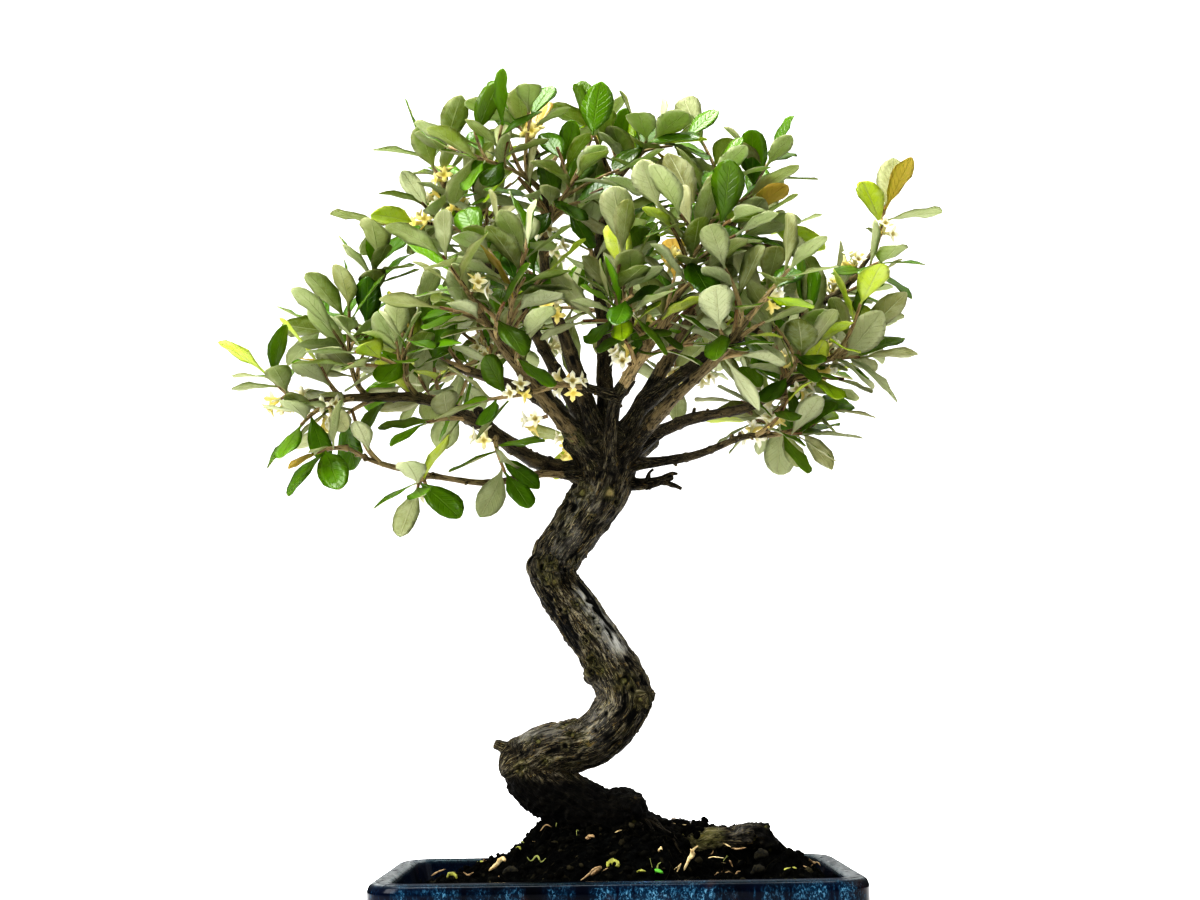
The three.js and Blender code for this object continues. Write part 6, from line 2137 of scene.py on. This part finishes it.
@dataclass
class Soil:
    """Coarse dark soil, mounded up to the trunk, with loose crumbs and fibres on it."""

    finish: EarthFinish = EarthFinish()
    half_length: float = 100.0
    half_depth: float = 69.0
    corner: float = 11
    level: float = 51
    edge_drop: float = 3
    bottom: float = 14.4
    bottom_half: tuple[float, float] = (91.0, 60.0)
    rows: int = 104
    counts: tuple[int, int, int] = (14, 62, 96)
    crumbs: int = 2600
    crumb_half: tuple[float, float] = (97, 66)
    mound_middle: float = 14
    mound_spread: tuple[float, float] = (42, 34)
    mound_share: float = 0.6
    pale_share: float = 0.07
    fibres: int = 420
    seed: int = 303

    def height(self, x: Array, y: Array) -> Array:
        """Height of the smooth mound: a broad flat-topped hump, small heaps, waves and a dip by the root."""
        mound = 31 * np.exp(-(np.abs(x - self.mound_middle) / 72) ** 3 - (np.abs(y) / 60) ** 3)
        small = 6 * np.exp(-((x - 76) ** 2 + (y + 9) ** 2) / 26 ** 2)
        waves = 1.5 * (np.sin(x / 5.3 + 1.1) * np.cos(y / 4.7) + 0.7 * np.sin(x / 3.1 - y / 3.7))
        heap = 12 * np.exp(-((x + 34) / 12) ** 2 - ((y - 4) / 15) ** 2)
        left = 4 * np.exp(-((x + 68) / 26) ** 2 - ((y - 8) / 42) ** 2)
        dip = smooth_step(-8, -15, y) * smooth_step(-78, -38, y)
        trench = 14 * np.exp(-((x - 51) / 24) ** 4) * dip
        return self.level + mound + small + waves + heap + left - trench

    def surface(self, x: Array, y: Array) -> Array:
        """Height of the crumbly top: the mound and three sizes of clods."""
        place = np.stack([x, y, np.zeros_like(x)], axis=-1)
        clods = (1 - np.abs(Roughness(self.seed).at(place, 7))) ** 2 * 2.6
        lumps = (1 - np.abs(Roughness(self.seed + 1).at(place, 3.2))) ** 2 * 1.9
        grains = Roughness(self.seed + 2).at(place, 1.7) * 0.75
        return self.height(x, y) + clods + lumps + grains - 2.3

    def build(self) -> bpy.types.Object:
        """Makes the soil: growing rings for the top, then the sides down to the bottom."""
        share = np.linspace(0.012, 1, self.rows)
        half_x = np.append(share * self.half_length, [self.half_length - 0.6, self.bottom_half[0]])
        half_y = np.append(share * self.half_depth, [self.half_depth - 0.6, self.bottom_half[1]])
        corner = np.append(share * self.corner, [self.corner, self.corner])
        rings = rounded_rings(half_x, half_y, corner, self.counts)
        top = self.surface(rings[..., 0], rings[..., 1])
        out = np.append(share, [1, 1])[:, None]
        high = top - self.edge_drop * smooth_step(0.9, 1.0, out)
        high[-2] -= 5
        high[-1] = self.bottom
        points = np.concatenate([rings, high[..., None]], axis=2)[::-1]
        ends = np.array([(0, 0, self.bottom), (0, 0, float(top[0].mean()))])
        light = (Roughness(self.seed + 5).at(points, 2.2) > 0.72) * 0.4
        tone = np.stack([light, light * 0, light * 0], axis=-1).reshape(-1, 3)
        draft = Draft("tone")
        draft.add(np.concatenate([points.reshape(-1, 3), ends]), rings_to_faces(len(rings), rings.shape[1]),
                  tone=np.concatenate([tone, np.zeros((2, 3))]))
        made = draft.piece("soil_bed", [self.finish.material()], "soil")
        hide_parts("soil")
        return made

    def build_crumbs(self) -> bpy.types.Object:
        """Makes the loose crumbs, twenty faces each, and the root fibres among them."""
        rng = np.random.default_rng(self.seed)
        golden = (1 + math.sqrt(5)) / 2
        ball = unit(np.array([(-1, golden, 0), (1, golden, 0), (-1, -golden, 0), (1, -golden, 0),
                              (0, -1, golden), (0, 1, golden), (0, -1, -golden), (0, 1, -golden),
                              (golden, 0, -1), (golden, 0, 1), (-golden, 0, -1), (-golden, 0, 1)], float))
        faces = np.array([(0, 11, 5), (0, 5, 1), (0, 1, 7), (0, 7, 10), (0, 10, 11), (1, 5, 9), (5, 11, 4),
                          (11, 10, 2), (10, 7, 6), (7, 1, 8), (3, 9, 4), (3, 4, 2), (3, 2, 6), (3, 6, 8),
                          (3, 8, 9), (4, 9, 5), (2, 4, 11), (6, 2, 10), (8, 6, 7), (9, 8, 1)])
        many = self.crumbs
        near = rng.random(many) < self.mound_share
        (half_x, half_y), (spread_x, spread_y) = self.crumb_half, self.mound_spread
        x = np.where(near, self.mound_middle + rng.normal(0, spread_x, many),
                     (rng.random(many) * 2 - 1) * half_x)
        y = np.where(near, rng.normal(0, spread_y, many), (rng.random(many) * 2 - 1) * half_y)
        x, y = np.clip(x, -half_x, half_x), np.clip(y, -half_y, half_y)
        size = 0.45 + 2.0 * rng.random(many) ** 3
        stretch = 0.6 + 0.8 * rng.random((many, 1, 3))
        lumpy = 0.72 + 0.5 * rng.random((many, 12, 1))
        turns, _ = np.linalg.qr(rng.normal(size=(many, 3, 3)))
        turns *= np.sign(np.linalg.det(turns))[:, None, None]
        lumps = np.einsum("nij,nkj->nki", turns, ball[None] * stretch * lumpy * size[:, None, None])
        out = np.maximum(abs(x) / self.half_length, abs(y) / self.half_depth)
        ground = self.surface(x, y) - self.edge_drop * smooth_step(0.9, 1, out)
        points = lumps + np.stack([x, y, ground + size * 0.35], axis=1)[:, None]
        corners = (faces[None] + np.arange(many)[:, None, None] * 12).reshape(-1, 3)
        pale = rng.random(many) < self.pale_share
        light = np.where(pale, 0.4 + 0.5 * rng.random(many), rng.random(many) * 0.1)
        tone = np.repeat(np.stack([light, light * 0, light * 0], axis=1), 12, axis=0)
        draft = Draft("tone")
        draft.add(points.reshape(-1, 3), [corners], tone=tone)
        for _ in range(self.fibres):
            self.add_fibre(draft, rng)
        return draft.piece("crumbs", [self.finish.material()], "soil")

    def add_fibre(self, draft: Draft, rng: np.random.Generator) -> None:
        """Adds one fine root or strand, arched over the soil."""
        start = np.array([rng.normal(self.mound_middle, 48), rng.normal(-4, 36)])
        way, curve = rng.random() * 2 * math.pi, rng.normal(0, 1.1)
        length = 4 + 16 * rng.random() ** 1.5
        t = np.linspace(0, 1, 6)
        turn = way + curve * t
        path = start + np.cumsum(np.stack([np.cos(turn), np.sin(turn)], axis=1) * length / 5, axis=0)
        path = np.clip(path, (-96, -65), (96, 65))
        rise = self.height(path[:, 0], path[:, 1]) + 0.6 + np.sin(t * math.pi) * rng.random() * 2.4
        thick = 0.12 + 0.22 * rng.random()
        centres = np.column_stack([path, rise])
        if np.linalg.norm(np.diff(centres, axis=0), axis=1).min() < 0.2:
            return
        points, faces = Sweep(centres, thick * (1.1 - 0.6 * t), 4).skin()
        draft.add(points, faces, tone=np.tile([0.04 + 0.3 * rng.random() ** 2, 0, 0], (len(points), 1)))


class Kind(Enum):
    """What lies or sprouts on the soil."""

    PETAL = 0
    LEAF_BIT = 1
    GREEN_BIT = 2
    STICK = 3
    THREAD = 4
    PEBBLE = 5
    SEEDLING = 6


# What lies on the soil: kind, depth from the front, thickness, and x and z along its length, in millimetres
FALLEN = (
    (Kind.PETAL, -34.0, 1.2, ((-60.8, 64.0), (-57.6, 66.2), (-54.6, 69.4), (-52.8, 68.2))),
    (Kind.STICK, 4.0, 0.5, ((-91.6, 58.9), (-88.2, 60.8), (-84.2, 62.2))),
    (Kind.LEAF_BIT, -21.0, 0.9, ((-81.7, 59.8), (-80.7, 61.7), (-77.8, 61.2), (-76.9, 59.3))),
    (Kind.THREAD, -37.8, 0.45, ((-42.6, 70.4), (-40.7, 68.5), (-37.9, 70.8), (-36.0, 68.0), (-33.6, 69.8))),
    (Kind.STICK, -58.5, 0.55, ((-17.5, 60.7), (-13.7, 63.3), (-11.0, 66.0), (-7.7, 67.3))),
    (Kind.STICK, -57.5, 1.1, ((-12.5, 63.0), (-9.5, 65.2), (-7.4, 66.9))),
    (Kind.STICK, -27.2, 1.8, ((-14.3, 77.2), (-12.8, 79.0), (-10.5, 78.5))),
    (Kind.LEAF_BIT, -54.5, 1.5, ((-5.0, 66.5), (-3.1, 68.7), (-0.3, 68.2), (0.6, 66.4))),
    (Kind.LEAF_BIT, -60.8, 1.4, ((7.4, 63.2), (10.1, 65.0), (12.9, 64.9))),
    (Kind.GREEN_BIT, -58.2, 2.0, ((16.1, 63.3), (18.0, 64.7), (20.8, 63.7))),
    (Kind.THREAD, -56.0, 0.4, ((16.2, 65.0), (15.4, 68.1), (14.9, 70.4))),
    (Kind.THREAD, -55.8, 0.4, ((18.1, 64.9), (18.6, 67.2), (20.0, 68.5))),
    (Kind.PETAL, -44.5, 1.2, ((19.0, 72.7), (20.4, 73.6), (20.9, 72.3))),
    (Kind.PETAL, -45.8, 0.8, ((30.9, 63.5), (32.4, 67.1), (34.3, 70.3), (35.3, 73.1), (37.7, 74.9))),
    (Kind.PETAL, -46.2, 0.7, ((33.6, 68.7), (35.6, 71.0), (34.0, 73.8))),
    (Kind.PETAL, -51.5, 0.55, ((27.5, 63.6), (28.4, 65.8), (29.4, 67.6))),
    (Kind.PETAL, -51.5, 0.5, ((26.1, 64.5), (26.8, 65.2), (27.5, 65.8))),
    (Kind.PETAL, -29.0, 0.75, ((43.2, 68.1), (46.0, 68.5), (50.8, 68.0))),
    (Kind.STICK, -33.8, 0.8, ((54.6, 64.1), (53.7, 66.0), (52.8, 67.4))),
    (Kind.PETAL, -18.0, 0.8, ((51.2, 74.2), (53.1, 73.3), (55.0, 72.3))),
    (Kind.STICK, -18.0, 1.2, ((55.0, 71.8), (58.4, 71.3), (62.3, 72.2))),
    (Kind.STICK, -39.5, 0.9, ((55.6, 61.3), (56.6, 62.2), (57.5, 62.7))),
    (Kind.PEBBLE, -35.8, 2.2, ((63.4, 60.9), (66.3, 63.2), (69.6, 62.7))),
    (Kind.PEBBLE, -25.0, 2.4, ((66.3, 67.0), (68.7, 69.3), (72.1, 68.4))),
    (Kind.PEBBLE, -43.8, 1.9, ((-53.6, 63.1), (-49.9, 64.9), (-46.1, 63.5))),
    (Kind.STICK, -10.0, 0.45, ((91.7, 66.7), (94.6, 64.3), (97.5, 63.8))),
    (Kind.STICK, -13.8, 0.4, ((92.6, 61.6), (96.5, 64.3), (98.4, 62.4))),
    (Kind.THREAD, -6.5, 0.35, ((-29.6, 82.3), (-29.0, 86.2), (-28.0, 89.6))),
    (Kind.SEEDLING, -6.5, 1.3, ((-30.6, 89.2), (-28.2, 90.4), (-26.4, 89.2))),
    (Kind.SEEDLING, -6.0, 1.1, ((-28.4, 89.6), (-27.2, 92.0), (-25.8, 92.4))),
    (Kind.STICK, -8.5, 0.4, ((-37.3, 80.6), (-34.4, 83.5), (-31.5, 82.5))),
    (Kind.LEAF_BIT, -17.8, 0.6, ((-49.6, 72.3), (-47.2, 73.7), (-46.3, 72.3))),
    (Kind.PETAL, -4.5, 0.5, ((27.2, 83.4), (31.1, 82.6), (36.0, 82.3))),
    (Kind.STICK, -24.8, 0.5, ((-73.7, 62.8), (-71.3, 61.4), (-68.5, 62.8))),
)


@dataclass
class Litter:
    """Fallen petals, bits of leaf, sticks, grit and sprouts on the soil, and fine roots at the trunk."""

    soil: Soil = field(default_factory=Soil)
    twig: TwigFinish = TwigFinish()
    finishes: tuple[LitterFinish, ...] = (
        LitterFinish("fallen_petal", (0.95, 0.80, 0.46), (0.66, 0.46, 0.20)),
        LitterFinish("leaf_bit", (0.46, 0.47, 0.08), (0.20, 0.20, 0.04)),
        LitterFinish("green_bit", (0.12, 0.48, 0.03), (0.07, 0.28, 0.02)),
        LitterFinish("stick", (0.56, 0.40, 0.21), (0.28, 0.17, 0.08)),
        LitterFinish("thread", (0.52, 0.56, 0.18), (0.30, 0.32, 0.10)),
        LitterFinish("pebble", (0.024, 0.020, 0.007), (0.002, 0.002, 0.001), 1.0),
        LitterFinish("seedling", (0.14, 0.42, 0.03), (0.08, 0.24, 0.02)),
    )
    seed: int = 611
    roots: int = 12
    sprinkled: int = 70
    spread: tuple[float, float] = (52, 38)
    within: tuple[float, float] = (92, 62)
    trunk_clear: float = 26

    def ground(self, x: Array, y: Array) -> Array:
        """Height of the soil's surface."""
        return self.soil.surface(np.asarray(x, float), np.asarray(y, float))

    def add_strand(self, draft: Draft, spot: Array, length: float, turn: float, thick: float, lift: float,
                   finish: int) -> None:
        """Adds a stick or thread: a bent tube that lies on the soil with its middle lifted."""
        t = np.linspace(-0.5, 0.5, 8)
        bend = (0.12 if lift < 1 else 0.3) * length * (0.25 - t ** 2) * 4
        x = spot[0] + math.cos(turn) * t * length - math.sin(turn) * bend
        y = spot[1] + math.sin(turn) * t * length + math.cos(turn) * bend
        rest = np.maximum(self.ground(x, y), self.ground(x, y).mean())
        z = rest + thick * 0.7 + lift * (0.25 - t ** 2) * 4
        points, faces = Sweep(np.column_stack([x, y, z]), thick * (1.1 - np.abs(t)), 7).skin()
        draft.add(points, faces, finish)

    def add_scrap(self, draft: Draft, spot: Array, size: float, turn: float, width: float, finish: int,
                  rng: np.random.Generator) -> None:
        """Adds a curled scrap: a closed lens on an oval, cupped along its length."""
        rows, sides = 5, 12
        angle = np.arange(sides) * 2 * math.pi / sides
        out = np.array([0.3, 0.7, 1.0, 0.7, 0.3])[:, None]
        flat_x = out * np.cos(angle) * size * 0.5
        flat_y = out * np.sin(angle) * size * 0.5 * width * (1 + 0.25 * np.cos(angle))
        cup = 0.5 * (flat_y ** 2) / max(size * width * 0.5, 1) + 0.10 * flat_x ** 2 / size * 2
        layer = np.array([-0.16, -0.1, 0, 0.1, 0.16])[:, None]
        tilt = rng.normal(0, 0.22, 2)
        z = cup + layer + tilt[0] * flat_x + tilt[1] * flat_y
        x = spot[0] + math.cos(turn) * flat_x - math.sin(turn) * flat_y
        y = spot[1] + math.sin(turn) * flat_x + math.cos(turn) * flat_y
        base = float(self.ground(x, y).max()) - 0.2
        rings = np.stack([x, y, z + base], axis=-1)
        ends = np.stack([rings[0].mean(axis=0), rings[-1].mean(axis=0)])
        draft.add(np.concatenate([rings.reshape(-1, 3), ends]), rings_to_faces(rows, sides), finish)

    def add_pebble(self, draft: Draft, spot: Array, size: float, finish: int) -> None:
        """Adds a pebble: a flattened ball with a wavy skin."""
        rise = np.sin(np.linspace(-1, 1, 9) * math.pi / 2 * 0.96)
        base = float(self.ground(*spot))
        ball = Sweep(np.array([*spot, base + size * 0.3]) + np.outer(rise * size * 0.7, UP),
                     size * np.sqrt(1 - rise ** 2), 14)
        skin, faces = ball.skin()
        lumps = Roughness(self.seed).at(skin, size * 1.2)[:, None]
        draft.add(skin + unit(skin - skin.mean(axis=0)) * lumps * size * 0.16, faces, finish)

    def add_sprig(self, draft: Draft, depth: float, thick: float, places: Sequence[tuple[float, float]],
                  finish: int) -> None:
        """Adds a curled strip, stalk or lump that faces the front: an oval tube with drawn-in ends."""
        rows = np.array([(x, depth, z, 1.0) for x, z in places])
        t = np.linspace(0, 1, 4 * len(rows) + 1)
        centres = along(rows, t)[:, :3] + np.array([0, 1, 0]) * (0.8 * thick * np.sin(t * 5))[:, None]
        thin = 0.95 if finish == Kind.PEBBLE.value else 0.45
        sweep = Sweep(centres, thick * np.maximum(np.sin(t * math.pi), 0.0) ** 0.5 * 0.8 + thick * 0.2, 10)
        curve = np.cos(sweep.angles)[None, :, None] * sweep.side[:, None]
        curve = curve + thin * np.sin(sweep.angles)[None, :, None] * sweep.other[:, None]
        rings = sweep.centres[:, None] + sweep.radii[:, None, None] * curve
        lumps = Roughness(self.seed).at(rings, 1.1)[..., None] * (rings - sweep.centres[:, None]) * 0.35
        points = np.concatenate([(rings + lumps).reshape(-1, 3), centres[:1], centres[-1:]])
        draft.add(points, rings_to_faces(len(centres), 10), finish)

    def build(self) -> bpy.types.Object:
        """Makes what lies on the soil in front, and a sprinkling of the same further round."""
        rng = np.random.default_rng(self.seed)
        draft = Draft("tone")
        for kind, depth, thick, places in FALLEN:
            self.add_sprig(draft, depth, thick, places, kind.value)
        for _ in range(self.sprinkled):
            kind = rng.choice([Kind.PETAL, Kind.STICK, Kind.THREAD, Kind.PEBBLE, Kind.LEAF_BIT],
                              p=[0.16, 0.50, 0.14, 0.12, 0.08])
            spot = np.array([rng.normal(6, self.spread[0]), rng.normal(0, self.spread[1])])
            scale, turn = 0.6 + 0.8 * rng.random(), rng.random() * 6.3
            if (np.abs(spot) > self.within).any() or math.hypot(spot[0] - 2, spot[1]) < self.trunk_clear:
                continue
            if kind is Kind.STICK:
                self.add_strand(draft, spot, 4.5 * scale, turn, 0.35, 0.5, kind.value)
            elif kind is Kind.THREAD:
                self.add_strand(draft, spot, 6 * scale, turn, 0.25, 2.0, kind.value)
            elif kind is Kind.PEBBLE:
                self.add_pebble(draft, spot, 1.1 * scale, kind.value)
            else:
                self.add_scrap(draft, spot, 3 * scale, turn, 0.6, kind.value, rng)
        return draft.piece("litter", [one.material() for one in self.finishes], "soil")

    def build_roots(self) -> bpy.types.Object:
        """Makes thin roots that leave the trunk's foot and sink into the mound."""
        rng = np.random.default_rng(self.seed + 1)
        draft = Draft("grain", "bark")
        for number in range(self.roots):
            turn = -1.2 + 1.3 * number / (self.roots - 1) if number < 7 else rng.random() * 6.3
            start = np.array([5.0, 0.0]) + np.array([math.cos(turn), math.sin(turn)]) * 9
            length = 16 + 26 * rng.random()
            t = np.linspace(0, 1, 26)
            way = turn + 0.35 * np.sin(t * 5 + rng.random() * 6) + rng.normal(0, 0.25) * t
            path = start + np.cumsum(np.stack([np.cos(way), np.sin(way)], axis=1) * length / 25, axis=0)
            thick = (0.8 + 0.9 * rng.random()) * (1 - 0.72 * t)
            high = self.soil.height(path[:, 0], path[:, 1]) + 0.5 + thick * 0.3
            high = high + 1.6 * (1 - smooth_step(0, 0.4, t)) - 3.2 * smooth_step(0.7, 1, t)
            sweep = Sweep(np.column_stack([path, high]), thick, 10)
            grain = sweep.grain(1.6) + number * 19.0
            relief = Roughness(self.seed).at(grain, (1.6, 1.6, 6)) * 0.22
            points, faces = sweep.skin(relief * np.clip(thick, 0.3, 1.5)[:, None])
            bark = np.stack([relief, np.full(relief.shape, 0.0), np.full(relief.shape, 0.0)], axis=-1)
            draft.add(points, faces, grain=sweep.ended(grain), bark=sweep.ended(bark))
        return draft.piece("fine_roots", [self.twig.material()], "bark")


# Studio


@dataclass(frozen=True)
class Lamp:
    """Square soft light: place and aim in millimetres, metres, watts, and whether gloss mirrors it."""

    name: str
    place: Triple
    aim: Triple
    width: float
    watts: float
    mirrored: bool = True

    def build(self) -> None:
        """Adds the light."""
        light = bpy.data.lights.new(self.name, "AREA")
        light.size, light.energy = self.width, self.watts
        made = in_scene(self.name, light)
        made.visible_glossy = self.mirrored
        made.location = Vector(self.place) * MM
        towards = (Vector(self.aim) - Vector(self.place)).normalized()
        made.rotation_euler = towards.to_track_quat("-Z", "Y").to_euler()


@dataclass
class Studio:
    """White room: pale floor, soft lights and the camera at the photograph's place."""

    camera_place: Triple = (-5.5, -940.0, 133.6)
    focal_pixels: float = 1876.0
    picture_width: float = 1200.0
    sensor: float = 36.0
    pitch: float = 8.2
    roll: float = -0.8
    floor_size: float = 6.0
    floor_cells: int = 40
    floor_height: float = -0.2
    lit_from: tuple[float, float] = (0.16, 0.42)
    far_from: tuple[float, float] = (1.5, 3.2)
    floor_grey: float = 0.60
    daylight: float = 0.64
    front_light: float = 0.30
    front_from: tuple[float, float] = (0.1, -0.75)
    mirror_from: tuple[float, float] = (0.12, 0.72)
    mirror_share: tuple[float, float] = (0.10, 1.15)
    look: str = "High Contrast"
    exposure: float = 0.12
    seen_light: float = 1.05
    lamps: tuple[Lamp, ...] = (
        Lamp("sky", (-150, -100, 1500), (0, 0, 250), 1.1, 40),
        Lamp("left_window", (-1100, -700, 900), (0, 0, 260), 0.7, 16),
        Lamp("right_window", (1200, -200, 900), (0, 0, 240), 0.8, 2),
        Lamp("back_window", (100, 1100, 1350), (0, 0, 300), 0.9, 15, False),
    )

    def build_floor(self) -> None:
        """Makes the floor: a flat grid that glows behind and far off, to meet the white air."""
        wide = self.floor_cells + 1
        side = np.linspace(-1, 1, wide) * self.floor_size / MM
        x, y = np.meshgrid(side, side, indexing="ij")
        points = np.stack([x, y, np.full_like(x, self.floor_height)], axis=-1).reshape(-1, 3)
        row, column = np.meshgrid(np.arange(wide - 1), np.arange(wide - 1), indexing="ij")
        here = (row * wide + column).ravel()
        faces = np.stack([here, here + wide, here + wide + 1, here + 1], axis=1)
        mesh = bpy.data.meshes.new("floor")
        mesh.from_pydata(points * MM, [], faces.tolist())
        floor = in_scene("floor", mesh)
        shade = Shade("floor")
        place = shade.place()
        _, behind, _ = shade.parts(place)
        far = shade.node("VectorMath", {"Vector": place}, operation="LENGTH").outputs["Value"]
        glow = shade.math("MAXIMUM", shade.level(behind, *self.lit_from), shade.level(far, *self.far_from))
        colour = shade.mix(shade.noise(place, 3, 2), (self.floor_grey,) * 3, (self.floor_grey + 0.02,) * 3)
        mesh.materials.append(shade.surface({
            "Base Color": colour, "Roughness": 0.9, "Emission Color": (1, 1, 1, 1), "Emission Strength": glow,
        }))
        floor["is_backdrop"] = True

    def build_world(self) -> None:
        """Makes the air: white as the camera sees it, dim from the front, mirrored dark but overhead."""
        shade = Shade("white_room", world=True)
        _, behind, up = shade.parts(shade.node("TexCoord", {}).outputs["Generated"])
        dusk = shade.level(behind, *self.front_from, self.front_light, self.daylight)
        overhead = shade.level(up, *self.mirror_from, *self.mirror_share[::-1])
        path = shade.node("LightPath", {}).outputs
        mirrored = shade.node("Mix", {"Factor": path["Is Glossy Ray"], "A": 1.0, "B": overhead})
        light = shade.times(dusk, mirrored.outputs["Result"])
        seen = shade.level(path["Is Camera Ray"], 0, 1, self.seen_light, light)
        air = shade.node("Background", {"Color": (1, 1, 1, 1), "Strength": seen})
        shade.links.new(air.outputs["Background"], shade.output.inputs["Surface"])
        bpy.context.scene.world = shade.holder

    def build_camera(self) -> None:
        """Makes the camera, level but for its pitch and a slight roll."""
        lens = bpy.data.cameras.new("camera")
        lens.sensor_width = self.sensor
        lens.lens = self.sensor * self.focal_pixels / self.picture_width
        lens.clip_start, lens.clip_end = 0.02, 50
        made = in_scene("camera", lens)
        turn = Matrix.Rotation(math.radians(90 + self.pitch), 4, "X")
        turn = turn @ Matrix.Rotation(math.radians(self.roll), 4, "Z")
        place = (np.array(self.camera_place) + Draft.origin) * MM
        made.matrix_world = Matrix.Translation(Vector(place)) @ turn
        bpy.context.scene.camera = made

    def build(self) -> None:
        """Makes the room."""
        self.build_floor()
        self.build_world()
        for lamp in self.lamps:
            lamp.build()
        self.build_camera()
        settings = bpy.context.scene.view_settings
        settings.view_transform, settings.look, settings.exposure = "Standard", self.look, self.exposure


def main() -> None:
    """Loads the frame and builds the pieces in order."""
    logging.basicConfig(level=logging.INFO, format="%(message)s")
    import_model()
    model_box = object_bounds()
    low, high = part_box("pot")
    Draft.origin = np.array([(low.x + high.x) / 2, (low.y + high.y) / 2, low.z]) / MM
    Pot().build()
    soil = Soil()
    soil.build()
    soil.build_crumbs()
    litter = Litter(soil=soil)
    litter.build()
    litter.build_roots()
    trunk = Trunk()
    trunk.build()
    limbs = Limbs(trunk=trunk)
    limbs.build_limbs()
    growth = Growth()
    limbs.build_branchlets(growth)
    clusters = growth.clusters()
    foliage = Foliage()
    foliage.build_sprays(growth)
    blossoms = Blossoms()
    blossoms.build(clusters)
    corners = [np.array(corner) / MM - Draft.origin for corner in model_box]
    blossoms.build_extra(growth)
    foliage.build_inner(growth, *corners)
    Studio().build()


if __name__ == "__main__":
    main()
